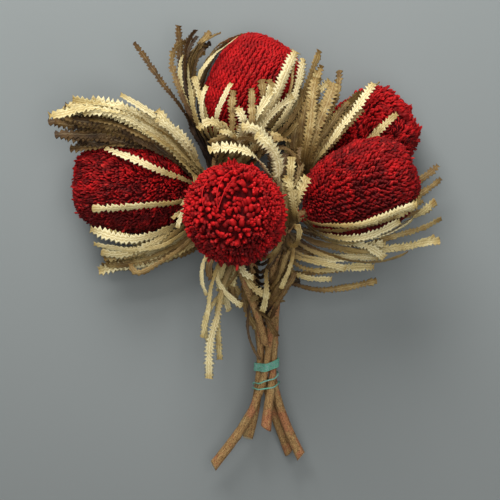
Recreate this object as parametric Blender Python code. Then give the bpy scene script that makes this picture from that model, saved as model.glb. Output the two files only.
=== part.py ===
"""A tied bunch of five dried banksia heads, lying on its back on a table.

All sizes here are in millimetres, and mesh_object writes them in metres. +X and +Y lie in the
table, +Y from the cut stems towards the heads, and +Z is up, away from the table.
"""

import math
import random
from collections import namedtuple

import bmesh
import bpy
from mathutils import Quaternion, Vector
from mathutils.bvhtree import BVHTree

MM = 0.001
# Moves the drawing so that the part's origin is the middle of its underside.
ORIGIN_SHIFT = Vector((1.5, 2.9, 0.0))

# Flower heads: egg-shaped spikes, widest towards the tip, covered in florets
Head = namedtuple("Head", "base aim length radius")
HEADS = {
    "left": Head((-52, 53, 34), (-0.99, 0.02, 0.10), 106, 41),
    "top": Head((-23, 97, 36), (0.47, 0.88, 0.02), 102, 38.5),
    "front": Head((-4, 18, 96), (-0.13, 0.15, 0.98), 94, 40),
    "right_front": Head((54, 30, 106), (0.91, 0.37, 0.08), 98, 38.5),
    "right_back": Head((72, 73, 22), (0.78, 0.54, 0.28), 92, 37),
}
HEAD_BLUNTNESS = 0.65
HEAD_LEAN_TO_TIP = 0.09
FLORET_COLUMNS = 32
FLORET_ROWS = 13
CROWN_COLUMNS = 16
CROWN_ROWS = 3
FLORET_RELIEF = 3.0
FLORET_LEAN = 1.6
COLUMN_TWIST = 0.035
CROWN_DIP = 4.0
TABLE = 0.0

# Stems: spirally laid, so that all five cross in the tie
Stem = namedtuple("Stem", "seat_angle cut cut_heading rise")
TIE_CENTRE = Vector((17.6, -111, 35))
SEAT_RADIUS = 6.6
SPIRAL_PER_MM = 0.026
STEMS = {
    "left": Stem(234, (39, -195, 5.4), (0.35, -0.93, -0.12), 5),
    "top": Stem(306, (50, -198, 21), (0.45, -0.88, -0.10), -15),
    "front": Stem(162, (0, -181, 18), (-0.3, -0.93, -0.2), 4),
    "right_front": Stem(90, (-32, -206, 27), (-0.62, -0.78, -0.05), 0),
    "right_back": Stem(18, (17, -169, 46), (-0.06, -0.99, 0.05), 0),
}
STEM_RADIUS_CUT = 5.2
STEM_RADIUS_TIE = 3.3
STEM_RADIUS_HEAD = 4.8
STEM_SIDES = 8
STEM_RINGS_BELOW = 6
STEM_RINGS_ABOVE = 11
SOCKET_DEPTH = 12.0
FIT_GAP = 0.4

# Twine: three tight turns, a slanting turn down and a loose one below
TWINE_RADIUS = 1.1
TWINE_SIDES = 5
POINTS_PER_TURN = 15

# Leaves: narrow saw-toothed blades in fans. A fan's leaves run evenly from its first to its last.
Fan = namedtuple("Fan", "stem count roots width first last faces")
LEAF_TOOTH_PITCH = 17.5
LEAF_NOTCH = 0.62
LEAF_RIB = 1.3
LEAF_FOOT_WIDTH = 2.6
TOOTH_LEAN = 3.4
CROWDED_FOOT = 30
CRUMB_VOLUME = 5.0
SHORTEST_LEAF = 0.62
BEND_SEED = 4
SHARPEST_BEND = 0.35
SHARPEST_TWIST = 0.6
# A leaf keeps this far from the heads' skin, and this far from every piece that it isn't part of
HEAD_MARGIN = 4.2
LEAF_GAP = 0.3
TRIES = 50
SHAKE_PER_TRY = 0.6
FANS = {
    # name: stem, leaves, mm of stem below the head where the first and last root, width,
    #   (bend, bend, tip) of the first leaf, the same of the last, and the way each faces
    "left_arch": Fan("left", 8, (14, 52), 10.5,
                     ((-55, 96, 66), (-98, 152, 96), (-183, 132, 84)),
                     ((-58, 84, 70), (-92, 122, 90), (-152, 117, 80)),
                     ((0.1, 0.4, 0.9), (0, 0.4, 0.9))),
    "left_shade": Fan("left", 5, (8, 40), 9.5,
                      ((-55, 92, 46), (-98, 130, 60), (-180, 116, 56)),
                      ((-52, 88, 30), (-100, 118, 24), (-170, 86, 22)),
                      ((-0.1, 0.5, 0.7), (-0.2, 0.6, 0.7))),
    "left_hook": Fan("left", 1, (30, 30), 7,
                     ((-58, -4, 50), (-104, -44, 62), (-107, -18, 58)),
                     ((-58, -4, 50), (-104, -44, 62), (-107, -18, 58)),
                     ((0, -0.2, 1), (0, -0.2, 1))),
    "left_face_upper": Fan("left", 1, (4, 4), 10,
                           ((-60, 58, 84), (-92, 72, 92), (-128, 87, 76)),
                           ((-60, 58, 84), (-92, 72, 92), (-128, 87, 76)),
                           ((0, 0.45, 0.9), (0, 0.45, 0.9))),
    "left_face_lower": Fan("left", 1, (4, 4), 9.5,
                           ((-62, 36, 80), (-98, 33, 88), (-140, 33, 78)),
                           ((-62, 36, 80), (-98, 33, 88), (-140, 33, 78)),
                           ((0, -0.4, 0.9), (0, -0.4, 0.9))),
    "left_skirt": Fan("left", 8, (10, 52), 9.5,
                      ((-60, 14, 58), (-98, -8, 64), (-150, 13, 62)),
                      ((-40, 2, 18), (-80, -14, 14), (-146, -24, 9)),
                      ((0, -0.4, 0.9), (0, -0.3, 0.95))),
    "front_collar": Fan("front", 4, (8, 28), 11.5,
                        ((38, 20, 112), (30, 92, 176), (-38, 68, 170)),
                        ((42, 44, 92), (26, 108, 132), (-20, 100, 136)),
                        ((0.1, 0.5, 0.85), (0, 0.3, 0.95))),
    "front_hanging": Fan("front", 6, (24, 58), 9.5,
                         ((-24, 2, 78), (-40, -44, 82), (-33, -120, 58)),
                         ((-8, -6, 62), (-22, -40, 50), (-8, -76, 44)),
                         ((-0.2, 0, 1), (0.3, 0, 1))),
    "top_plume": Fan("top", 2, (30, 40), 7.5,
                     ((-44, 96, 42), (-58, 146, 48), (-97, 187, 46)),
                     ((-44, 92, 34), (-68, 150, 40), (-63, 202, 38)),
                     ((0.5, 0.2, 0.8), (0.3, 0, 1))),
    "top_arch": Fan("top", 8, (6, 38), 8.5,
                    ((-46, 92, 52), (-74, 176, 60), (-32, 197, 52)),
                    ((-40, 88, 16), (-62, 186, 12), (4, 194, 10)),
                    ((-0.5, 0.4, 0.7), (-0.6, 0.5, 0.6))),
    "top_face_left": Fan("top", 2, (4, 6), 7,
                         ((-38, 92, 62), (-48, 124, 76), (-37, 143, 72)),
                         ((-32, 92, 74), (-28, 122, 88), (-14, 144, 80)),
                         ((-0.3, 0, 1), (-0.2, 0, 1))),
    "top_face_right": Fan("top", 7, (4, 34), 9,
                          ((2, 92, 80), (22, 126, 92), (46, 169, 80)),
                          ((24, 84, 34), (48, 112, 30), (72, 165, 26)),
                          ((0.3, -0.2, 0.9), (0.5, -0.3, 0.8))),
    "centre_curls": Fan("top", 5, (20, 44), 9,
                        ((-16, 72, 86), (-12, 112, 106), (-41, 104, 98)),
                        ((10, 74, 92), (16, 108, 106), (36, 86, 108)),
                        ((0, 0.3, 1), (0, 0.3, 1))),
    "centre_low": Fan("front", 6, (10, 56), 9,
                      ((12, 30, 88), (14, 66, 74), (12, 100, 58)),
                      ((30, 12, 84), (46, 40, 76), (50, 88, 62)),
                      ((0, 0, 1), (0.2, 0, 1))),
    "centre_back": Fan("right_back", 5, (24, 60), 9.5,
                       ((26, 56, 34), (34, 96, 40), (36, 146, 40)),
                       ((46, 52, 28), (60, 98, 20), (84, 150, 22)),
                       ((0.2, 0, 1), (-0.1, 0, 1))),
    "centre_plume": Fan("right_back", 8, (6, 44), 10,
                        ((34, 66, 56), (46, 104, 64), (54, 144, 58)),
                        ((52, 62, 62), (70, 92, 88), (116, 138, 80)),
                        ((0, 0, 1), (-0.3, 0.2, 0.9))),
    "right_far": Fan("right_back", 4, (10, 30), 8,
                     ((92, 30, 26), (142, 36, 44), (184, 76, 46)),
                     ((88, 12, 20), (134, 16, 26), (178, 40, 26)),
                     ((0, -0.3, 0.9), (0, -0.3, 0.9))),
    "right_face": Fan("right_front", 2, (4, 8), 10,
                      ((66, 4, 132), (100, 12, 146), (150, 41, 130)),
                      ((66, -8, 110), (100, -2, 126), (143, 26, 112)),
                      ((0, -0.5, 0.85), (0, -0.6, 0.8))),
    "right_skirt": Fan("right_front", 6, (10, 52), 9.5,
                       ((70, -8, 98), (114, 2, 100), (166, 8, 94)),
                       ((40, -40, 62), (78, -22, 60), (120, -32, 52)),
                       ((0, -0.3, 0.95), (0, -0.2, 1))),
    "stem_rags": Fan("right_front", 2, (58, 70), 8,
                     ((34, -30, 60), (60, -26, 54), (88, -22, 54)),
                     ((34, -44, 56), (70, -46, 46), (120, -35, 42)),
                     ((0, 0, 1), (0, 0, 1))),
    "right_stand": Fan("right_front", 4, (10, 40), 11,
                       ((42, 10, 120), (46, 40, 140), (64, 72, 146)),
                       ((30, -4, 84), (30, 30, 100), (36, 70, 104)),
                       ((0, -0.2, 1), (-0.2, 0, 1))),
}


def unit(vector):
    return Vector(vector).normalized()


def bezier(points, t):
    """A point of the cubic curve through four control points."""
    s = 1 - t
    a, b, c, d = points
    return a * s**3 + b * (3 * s * s * t) + c * (3 * s * t * t) + d * t**3


def evenly_spaced(points, count):
    """count points at equal steps along a polyline."""
    steps = [(q - p).length for p, q in zip(points, points[1:])]
    total = sum(steps)
    found = []
    i = 0
    done = 0.0
    for k in range(count):
        want = total * k / (count - 1)
        while i < len(steps) - 1 and done + steps[i] < want:
            done += steps[i]
            i += 1
        share = (want - done) / steps[i]
        found.append(points[i].lerp(points[i + 1], min(1.0, share)))
    return found


def tangents(points):
    ends = [points[0], *points, points[-1]]
    return [(b - a).normalized() for a, b in zip(ends, ends[2:])]


def mesh_object(name, points, faces, material):
    mesh = bpy.data.meshes.new(name)
    mesh.from_pydata([(Vector(p) + ORIGIN_SHIFT) * MM for p in points], [], faces)
    mesh.materials.append(material)
    shape = bmesh.new()
    shape.from_mesh(mesh)
    bmesh.ops.recalc_face_normals(shape, faces=shape.faces)
    shape.to_mesh(mesh)
    shape.free()
    obj = bpy.data.objects.new(name, mesh)
    bpy.context.scene.collection.objects.link(obj)
    return obj


def plain_material(name, colour, roughness):
    material = bpy.data.materials.new(name)
    material.use_nodes = True
    shader = material.node_tree.nodes["Principled BSDF"]
    shader.inputs["Base Color"].default_value = (*colour, 1)
    shader.inputs["Roughness"].default_value = roughness
    shader.inputs["Metallic"].default_value = 0.0
    material.diffuse_color = (*colour, 1)
    return material


def ring_frame(axis, hint=(0, 0, 1)):
    """Two directions square to an axis."""
    across = unit(axis).cross(Vector(hint))
    if across.length < 1e-3:
        across = unit(axis).cross(Vector((1, 0, 0)))
    across.normalize()
    return across, unit(axis).cross(across)


def head_profile(head, angle):
    """Radius and height of the head's skin, angle 0 at its tip and pi at its base."""
    height = head.length * (0.5 + 0.5 * math.cos(angle))
    radius = head.radius * math.sin(angle) ** HEAD_BLUNTNESS * (1 + HEAD_LEAN_TO_TIP * math.cos(angle))
    return radius, height


def head_angles(head, first_radius, last_radius, count):
    """Profile angles of count rows of florets, evenly spaced along the skin."""
    fine = [math.pi * (k + 0.5) / 400 for k in range(400)]
    skin = [(a, *head_profile(head, a)) for a in fine]
    start = next(i for i, s in enumerate(skin) if s[1] >= first_radius)
    stop = max(i for i, s in enumerate(skin) if s[1] >= last_radius)
    path = [Vector((r, h, 0)) for _, r, h in skin[start:stop + 1]]
    along = [0.0]
    for p, q in zip(path, path[1:]):
        along.append(along[-1] + (q - p).length)
    angles = []
    for k in range(count):
        want = along[-1] * k / (count - 1)
        i = next(i for i, d in enumerate(along) if d >= want - 1e-9)
        angles.append(skin[start + i][0])
    return angles


def stitch(outer, inner):
    """Triangles between a ring and a ring of fewer points inside it."""
    share = len(outer) // len(inner)
    faces = []
    for k, a in enumerate(inner):
        b = inner[(k + 1) % len(inner)]
        for j in range(share):
            faces.append((outer[k * share + j], outer[(k * share + j + 1) % len(outer)], a))
        faces.append((outer[((k + 1) * share) % len(outer)], b, a))
    return faces


def floret_band(upper, lower, row):
    """Triangles between two rows, folded from valley to valley so that each floret is a point."""
    faces = []
    count = len(upper)
    for j in range(count):
        a, b = upper[j], upper[(j + 1) % count]
        c, d = lower[(j + 1) % count], lower[j]
        if (row + j) % 2 == 0:
            faces += [(a, d, b), (b, d, c)]
        else:
            faces += [(a, c, b), (a, d, c)]
    return faces


def flower_head(name, head, material):
    axis = unit(head.aim)
    across, up = ring_frame(axis)
    base = Vector(head.base)
    points = []

    def place(radius, turn, height):
        spot = base + axis * height + (across * math.cos(turn) + up * math.sin(turn)) * radius
        spot.z = max(spot.z, TABLE)
        points.append(spot)
        return len(points) - 1

    def floret_row(angle, columns, row):
        radius, height = head_profile(head, angle)
        near_radius, near_height = head_profile(head, angle - 0.02)
        along = Vector((near_radius - radius, near_height - height, 0)).normalized()
        out_radius, out_height = along.y, -along.x
        ring = []
        for j in range(columns):
            raised = FLORET_RELIEF if (row + j) % 2 == 0 else 0.0
            lean = FLORET_LEAN if raised else 0.0
            turn = 2 * math.pi * j / columns + COLUMN_TWIST * row * FLORET_COLUMNS / columns
            ring.append(place(radius + out_radius * raised + along.x * lean, turn,
                              height + out_height * raised + along.y * lean))
        return ring

    crown = head_angles(head, 5.0, 0.45 * head.radius, FLORET_ROWS)
    crown_angles = [crown[0], *[a for a in crown[1:] if head_profile(head, a)[0] < 17][:CROWN_ROWS - 1]]
    body_angles = head_angles(head, 19.0, 15.0, FLORET_ROWS)
    rows = [floret_row(a, CROWN_COLUMNS, i) for i, a in enumerate(crown_angles)]
    tip = place(0, 0, head.length - CROWN_DIP)
    faces = [(tip, rows[0][j], rows[0][(j + 1) % CROWN_COLUMNS]) for j in range(CROWN_COLUMNS)]
    for i, (upper, lower) in enumerate(zip(rows, rows[1:])):
        faces += floret_band(upper, lower, i)
    body = [floret_row(a, FLORET_COLUMNS, i) for i, a in enumerate(body_angles)]
    faces += [f[::-1] for f in stitch(body[0], rows[-1])]
    for i, (upper, lower) in enumerate(zip(body, body[1:])):
        faces += floret_band(upper, lower, i)
    socket_radius = STEM_RADIUS_HEAD + FIT_GAP
    base_height = head_profile(head, body_angles[-1])[1] - 1.0
    last_turn = COLUMN_TWIST * (FLORET_ROWS - 1)
    turns = [2 * math.pi * k / STEM_SIDES + last_turn for k in range(STEM_SIDES)]
    wide = socket_radius / math.cos(math.pi / STEM_SIDES)
    mouth = [place(wide, t, base_height) for t in turns]
    floor = [place(wide, t, SOCKET_DEPTH + FIT_GAP) for t in turns]
    faces += stitch(body[-1], mouth)
    for k in range(STEM_SIDES):
        n = (k + 1) % STEM_SIDES
        faces += [(mouth[k], mouth[n], floor[n]), (mouth[k], floor[n], floor[k])]
    faces.append(tuple(floor))
    return mesh_object(name, points, faces, material)


def seat(stem):
    """Where a stem crosses the tie, and its heading there, towards its head."""
    angle = math.radians(stem.seat_angle)
    offset = Vector((math.cos(angle), 0, math.sin(angle))) * SEAT_RADIUS
    heading = Vector((offset.z * SPIRAL_PER_MM, 1, -offset.x * SPIRAL_PER_MM))
    return TIE_CENTRE + offset, heading.normalized()


def stem_line(name):
    """The stem's centre line and radius, from its cut end to its top inside the head."""
    stem, head = STEMS[name], HEADS[name]
    crossing, heading = seat(stem)
    cut = Vector(stem.cut)
    base, axis = Vector(head.base), unit(head.aim)
    below = (crossing - cut).length
    above = (base - crossing).length
    lower = [cut, cut - unit(stem.cut_heading) * below * 0.35, crossing - heading * below * 0.4, crossing]
    rise = Vector((0, 0, stem.rise))
    upper = [crossing, crossing + heading * above * 0.38 + rise, base - axis * above * 0.3 + rise, base]
    fine = 60
    lower_line = evenly_spaced([bezier(lower, k / fine) for k in range(fine + 1)], STEM_RINGS_BELOW)
    upper_line = evenly_spaced([bezier(upper, k / fine) for k in range(fine + 1)], STEM_RINGS_ABOVE)
    line = lower_line + upper_line[1:] + [base + axis * (SOCKET_DEPTH - FIT_GAP)]
    radii = [STEM_RADIUS_CUT + (STEM_RADIUS_TIE - STEM_RADIUS_CUT) * k / (STEM_RINGS_BELOW - 1)
             for k in range(STEM_RINGS_BELOW)]
    radii += [STEM_RADIUS_TIE + (STEM_RADIUS_HEAD - STEM_RADIUS_TIE) * k / (STEM_RINGS_ABOVE - 1)
              for k in range(1, STEM_RINGS_ABOVE)]
    return line, radii + [STEM_RADIUS_HEAD]


def tube(points, radii, sides, closing_hint):
    """Points and faces of a round bar along a line, its rings carried along without twist."""
    headings = tangents(points)
    across, _ = ring_frame(headings[0], closing_hint)
    corners, faces = [], []
    previous = headings[0]
    for centre, radius, heading in zip(points, radii, headings):
        across = (previous.rotation_difference(heading) @ across).normalized()
        side = heading.cross(across)
        previous = heading
        for k in range(sides):
            turn = 2 * math.pi * k / sides
            corners.append(centre + (across * math.cos(turn) + side * math.sin(turn)) * radius)
    for i in range(len(points) - 1):
        for k in range(sides):
            n = (k + 1) % sides
            a, b = i * sides + k, i * sides + n
            faces.append((a, b, b + sides, a + sides))
    last = (len(points) - 1) * sides
    faces.append(tuple(range(sides))[::-1])
    faces.append(tuple(range(last, last + sides)))
    return corners, faces


def point_below_head(name, distance):
    """The point of a stem's centre line this far below its head."""
    line, _ = stem_line(name)
    walk = line[-2::-1]
    for p, q in zip(walk, walk[1:]):
        step = (q - p).length
        if distance <= step:
            return p.lerp(q, distance / step)
        distance -= step
    return walk[-1]


def fan_leaves(fan, seed):
    """(control points, facing, width, roll) of each leaf of a fan."""
    draw = random.Random(seed)
    leaves = []
    for k in range(fan.count):
        share = k / (fan.count - 1) if fan.count > 1 else 0.0
        root = point_below_head(fan.stem, fan.roots[0] + (fan.roots[1] - fan.roots[0]) * share)
        jitter = 0.0 if fan.count < 3 else 1.0
        control = [root]
        for a, b, spread, cross in zip(fan.first, fan.last, (2.0, 5.0, 8.0), (0.08, 0.16, 0.24)):
            shake = Vector([draw.uniform(-1, 1) for _ in range(3)]) * spread * jitter
            along = max(-0.1, min(1.1, share + draw.uniform(-cross, cross) * jitter))
            control.append(Vector(a).lerp(Vector(b), along) + shake)
        shorter = draw.uniform(SHORTEST_LEAF, 1.04) if jitter else 1.0
        control[3] = control[2].lerp(control[3], shorter)
        facing = Vector(fan.faces[0]).lerp(Vector(fan.faces[1]), share).normalized()
        roll = math.radians(draw.uniform(-38, 38)) * jitter
        leaves.append((control, facing, fan.width * draw.uniform(0.82, 1.1), roll))
    return leaves


def blade_width(share, width, is_tooth):
    """Half width of the blade: a narrow foot, then teeth and notches to a blunt end."""
    grown = min(1.0, share / 0.28)
    full = LEAF_FOOT_WIDTH + (width - LEAF_FOOT_WIDTH) * grown
    if share > 0.93:
        full *= 0.8
    return 0.5 * full * (1.0 if is_tooth else LEAF_NOTCH + (1 - LEAF_NOTCH) * (1 - grown))


def head_body(head):
    """(middle, axis, half length, radius, reach) of a head's skin with its margin."""
    axis = unit(head.aim)
    half = head.length * 0.5 + HEAD_MARGIN
    radius = head.radius + HEAD_MARGIN
    return Vector(head.base) + axis * head.length * 0.5, axis, half, radius, 1.3 * max(half, radius)


HEAD_BODIES = [head_body(head) for head in HEADS.values()]


def depth_in_head(body, offset):
    """Below 1 inside a head's skin and its margin, above 1 outside, at this offset from its middle."""
    _, axis, half, radius, _ = body
    along = offset.dot(axis)
    share = along / half
    wide = radius * (1 + HEAD_LEAN_TO_TIP * max(-1.0, min(1.0, share)))
    return share**2 + ((offset - axis * along).length / wide) ** (2 / HEAD_BLUNTNESS)


def clear_of_heads(point):
    """The point moved straight out of any head that it's in, and up off the table."""
    for _ in range(3):
        moved = False
        for body in HEAD_BODIES:
            offset = point - body[0]
            if offset.length > body[4]:
                continue
            for _ in range(12):
                depth = depth_in_head(body, offset)
                if depth >= 1:
                    break
                moved = True
                offset = offset * (max(depth, 0.01) ** -0.4 + 0.002)
            point = body[0] + offset
        if not moved:
            break
    point.z = max(point.z, TABLE + 2.0)
    return point


def flat_on_heads(point, facing):
    """The way a blade faces here: along a head's skin where it lies on one."""
    turned = facing.copy()
    for body in HEAD_BODIES:
        offset = point - body[0]
        if offset.length > body[4] * 1.2:
            continue
        depth = depth_in_head(body, offset)
        if depth < 1.6:
            out = offset - body[1] * offset.dot(body[1]) * 0.35
            turned = turned.lerp(unit(out), min(1.0, (1.6 - depth) / 0.4))
    return turned.normalized()


def leaf_line(control):
    """The leaf's centre line, clear of the heads and smoothed again."""
    fine = [bezier(control, k / 60) for k in range(61)]
    line = [fine[0], *[clear_of_heads(p) for p in fine[1:]]]
    for _ in range(4):
        middle = [(a + b * 2 + c) * 0.25 for a, b, c in zip(line, line[1:], line[2:])]
        line = [line[0], *[clear_of_heads(p) for p in middle], line[-1]]
    return line


def leaf_blade(fine, facing, width, roll, grown=0.0):
    """A three-sided blade: two saw-toothed edges and a rib along the side that it shows."""
    length = sum((q - p).length for p, q in zip(fine, fine[1:]))
    teeth = max(4, round(length / LEAF_TOOTH_PITCH))
    line = evenly_spaced(fine, 2 * teeth + 1)
    corners, faces = [], []
    for i, (centre, heading) in enumerate(zip(line, tangents(line))):
        share = i / (2 * teeth)
        across = heading.cross(flat_on_heads(centre, facing)).normalized()
        across = Quaternion(heading, roll * share) @ across
        top = across.cross(heading).normalized()
        half = blade_width(share, width, i % 2 == 1) + grown
        forward = heading * (TOOTH_LEAN if i % 2 else 0.0) - top * grown
        corners += [centre - across * half + forward, centre + across * half + forward]
        if i % 2 == 0:
            corners.append(centre + top * (LEAF_RIB + grown))
    for i in range(teeth):
        left, right, rib, tooth_left, tooth_right, next_left, next_right, next_rib = range(5 * i, 5 * i + 8)
        faces += [(rib, tooth_left, left), (rib, next_rib, tooth_left), (next_rib, next_left, tooth_left)]
        faces += [(rib, right, tooth_right), (rib, tooth_right, next_rib), (next_rib, tooth_right, next_right)]
        faces += [(left, tooth_left, right), (right, tooth_left, tooth_right)]
        faces += [(tooth_left, next_left, tooth_right), (tooth_right, next_left, next_right)]
    last = 5 * teeth
    faces += [(0, 1, 2), (last, last + 2, last + 1)]
    return corners, faces


def is_folded(corners):
    """Whether a blade turns or twists so sharply that an edge runs backwards or a side turns under."""
    rows = [corners[5 * i + k:5 * i + k + 2] for i in range(len(corners) // 5) for k in (0, 3)]
    middles = [(a + b) * 0.5 for a, b in rows]
    for (a, b), (c, d), p, q in zip(rows, rows[1:], middles, middles[1:]):
        if (c - a).dot(q - p) <= 0 or (d - b).dot(q - p) <= 0:
            return True
        if (b - a).normalized().dot((d - c).normalized()) < SHARPEST_TWIST:
            return True
    return any((b - a).normalized().dot((c - b).normalized()) < SHARPEST_BEND
               for a, b, c in zip(middles, middles[1:], middles[2:]))


def outer_part(faces):
    """The faces of a blade beyond the crowd at its foot."""
    return faces[len(faces) * CROWDED_FOOT // 100:-2]


def surface(corners, faces):
    """A search tree of a surface, for finding what crosses it."""
    return BVHTree.FromPolygons([tuple(c) for c in corners], faces)


def surface_of(obj):
    shift = ORIGIN_SHIFT
    return surface([v.co / MM - shift for v in obj.data.vertices], [tuple(f.vertices) for f in obj.data.polygons])


def settled_leaves(bodies):
    """Every leaf's blade by stem, each bent as little as clears the other pieces.

    bodies holds (stem it belongs to, surface) of the heads, the bare stems and the tie. A leaf also
    keeps off the other leaves of its own stem, until half of its tries have failed.
    """
    taken = list(bodies)
    settled = {name: [] for name in STEMS}
    outers = {name: [] for name in STEMS}
    for seed, (fan_name, fan) in enumerate(FANS.items()):
        for k, (control, facing, width, roll) in enumerate(fan_leaves(fan, seed)):
            draw = random.Random(1000 * seed + k + BEND_SEED)
            for attempt in range(TRIES):
                spread = SHAKE_PER_TRY * (attempt % (TRIES // 2))
                moved = [control[0]]
                for point, part in zip(control[1:], (0.35, 0.8, 1.0)):
                    shake = Vector([draw.uniform(-1, 1) for _ in range(3)])
                    moved.append(point + shake * spread * part)
                line = leaf_line(moved)
                turn = roll + math.radians(draw.uniform(-1, 1) * spread)
                tried = leaf_blade(line, facing, width, turn, LEAF_GAP)
                if min(c.z for c in tried[0]) < TABLE + 0.2 or is_folded(tried[0]):
                    continue
                tree = surface(*tried)
                if any(owner != fan.stem and tree.overlap(other) for owner, other in taken):
                    continue
                outer = surface(tried[0], outer_part(tried[1]))
                if attempt < TRIES // 2 and any(outer.overlap(other) for other in outers[fan.stem]):
                    continue
                blade = leaf_blade(line, facing, width, turn)
                settled[fan.stem].append((f"{fan_name}_{k}", line, facing, width, turn, blade))
                taken.append((fan.stem, surface(*blade)))
                outers[fan.stem].append(surface(blade[0], outer_part(blade[1])))
                break
    return settled


def join_all(target, name, pieces):
    """target fused with a list of (name, points and faces, material)."""
    others = bpy.data.collections.new(name)
    bpy.context.scene.collection.children.link(others)
    for piece_name, shape, material in pieces:
        piece = mesh_object(piece_name, *shape, material)
        bpy.context.scene.collection.objects.unlink(piece)
        others.objects.link(piece)
    join = target.modifiers.new("join", "BOOLEAN")
    join.operation = "UNION"
    join.operand_type = "COLLECTION"
    join.collection = others
    join.solver = "MANIFOLD"
    apply_modifiers(target)
    fill_hollows(target)
    for piece in list(others.objects):
        bpy.data.objects.remove(piece)
    bpy.data.collections.remove(others)


def fill_hollows(obj):
    """Removes the inner skins that crossing blades close off, and any crumb left over."""
    shape = bmesh.new()
    shape.from_mesh(obj.data)
    left = set(shape.faces)
    while left:
        island = [left.pop()]
        for face in island:
            for edge in face.edges:
                for beside in edge.link_faces:
                    if beside in left:
                        left.remove(beside)
                        island.append(beside)
        volume = sum(f.calc_center_median().dot(f.normal) * f.calc_area() for f in island) / 3
        if volume < CRUMB_VOLUME * MM**3:
            bmesh.ops.delete(shape, geom=island, context="FACES")
    shape.to_mesh(obj.data)
    shape.free()


def apply_modifiers(obj):
    bpy.context.view_layer.update()
    graph = bpy.context.evaluated_depsgraph_get()
    finished = bpy.data.meshes.new_from_object(obj.evaluated_get(graph))
    obj.modifiers.clear()
    obj.data = finished


def stem_section(name, y):
    """A stem's centre and radius where it crosses the plane at y, with its slant allowed for."""
    line, radii = stem_line(name)
    for i, (p, q) in enumerate(zip(line, line[1:])):
        if p.y <= y <= q.y:
            share = (y - p.y) / (q.y - p.y)
            slant = (q - p).normalized().y
            return p.lerp(q, share), (radii[i] + (radii[i + 1] - radii[i]) * share) / slant
    return Vector(line[0]), radii[0]


def round_the_stems(angle, y, clearance):
    """The point of a taut loop round all five stems, facing this angle."""
    out = Vector((math.cos(angle), 0, math.sin(angle)))
    best = max((stem_section(name, y) for name in STEMS), key=lambda s: s[0].dot(out) + s[1])
    return best[0] + out * (best[1] + clearance)


def twine(material):
    turns_tight, turns_down, turns_loose = 3.0, 1.0, 1.2
    pitch = 2 * TWINE_RADIUS + 0.3
    start_y = TIE_CENTRE.y + 4.5
    drop = 13.0
    line = []
    total = turns_tight + turns_down + turns_loose
    count = round(total * POINTS_PER_TURN)
    for k in range(count + 1):
        turn = total * k / count
        angle = math.radians(200) + 2 * math.pi * turn
        y = start_y - pitch * min(turn, turns_tight)
        y -= drop * min(max(turn - turns_tight, 0), turns_down) / turns_down
        y -= pitch * 1.5 * max(turn - turns_tight - turns_down, 0)
        line.append(round_the_stems(angle, y, TWINE_RADIUS + FIT_GAP))
    radii = [TWINE_RADIUS] * len(line)
    return mesh_object("tie", *tube(line, radii, TWINE_SIDES, (0, 1, 0)), material)


def main():
    for obj in list(bpy.data.objects):
        bpy.data.objects.remove(obj)
    red = plain_material("dyed_florets", (0.36, 0.006, 0.008), 0.8)
    tan = plain_material("dried_leaf", (0.42, 0.32, 0.15), 0.75)
    bark = plain_material("bark", (0.16, 0.09, 0.04), 0.85)
    teal = plain_material("twine", (0.09, 0.35, 0.24), 0.6)
    bodies = []
    stems = {}
    for name, head in HEADS.items():
        bloom = flower_head(f"head_{name}", head, red)
        bodies.append((None, surface_of(bloom)))
        line, radii = stem_line(name)
        stems[name] = mesh_object(f"leafy_stem_{name}", *tube(line, radii, STEM_SIDES, (0, 0, 1)), bark)
        stems[name].data.materials.append(tan)
        bodies.append((name, surface_of(stems[name])))
    bodies.append((None, surface_of(twine(teal))))
    for name, leaves in settled_leaves(bodies).items():
        join_all(stems[name], f"leaves_{name}", [(leaf[0], leaf[-1], tan) for leaf in leaves])


main()
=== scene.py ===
"""The looks of a tied bunch of dried banksia heads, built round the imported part.

The layout is worked out in millimetres, as in the part's source, and the meshes are written in metres.
+Y runs from the cut stems to the heads, and +Z is up from the surface that the bunch lies on.
"""

import math
import random
from collections import namedtuple

import bpy
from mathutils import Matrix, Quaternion, Vector, noise
from mathutils.bvhtree import BVHTree

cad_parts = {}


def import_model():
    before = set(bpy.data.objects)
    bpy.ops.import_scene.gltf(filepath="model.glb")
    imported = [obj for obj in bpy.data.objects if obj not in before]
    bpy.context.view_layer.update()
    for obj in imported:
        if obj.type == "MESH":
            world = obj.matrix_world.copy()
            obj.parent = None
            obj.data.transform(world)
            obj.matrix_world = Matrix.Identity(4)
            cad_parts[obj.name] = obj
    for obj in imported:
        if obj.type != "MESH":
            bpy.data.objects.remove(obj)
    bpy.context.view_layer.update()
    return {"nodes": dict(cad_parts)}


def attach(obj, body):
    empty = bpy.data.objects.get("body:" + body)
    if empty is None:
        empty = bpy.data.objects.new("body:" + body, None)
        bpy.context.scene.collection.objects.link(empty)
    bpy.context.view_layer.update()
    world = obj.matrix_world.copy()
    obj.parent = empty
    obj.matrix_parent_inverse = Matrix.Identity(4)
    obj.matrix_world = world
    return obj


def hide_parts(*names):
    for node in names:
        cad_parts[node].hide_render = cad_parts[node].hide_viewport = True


MM = 0.001
# The part's origin is the middle of its underside, this far from the layout's own zero.
ORIGIN_SHIFT = Vector((1.5, 2.9, 0.0))

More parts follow.
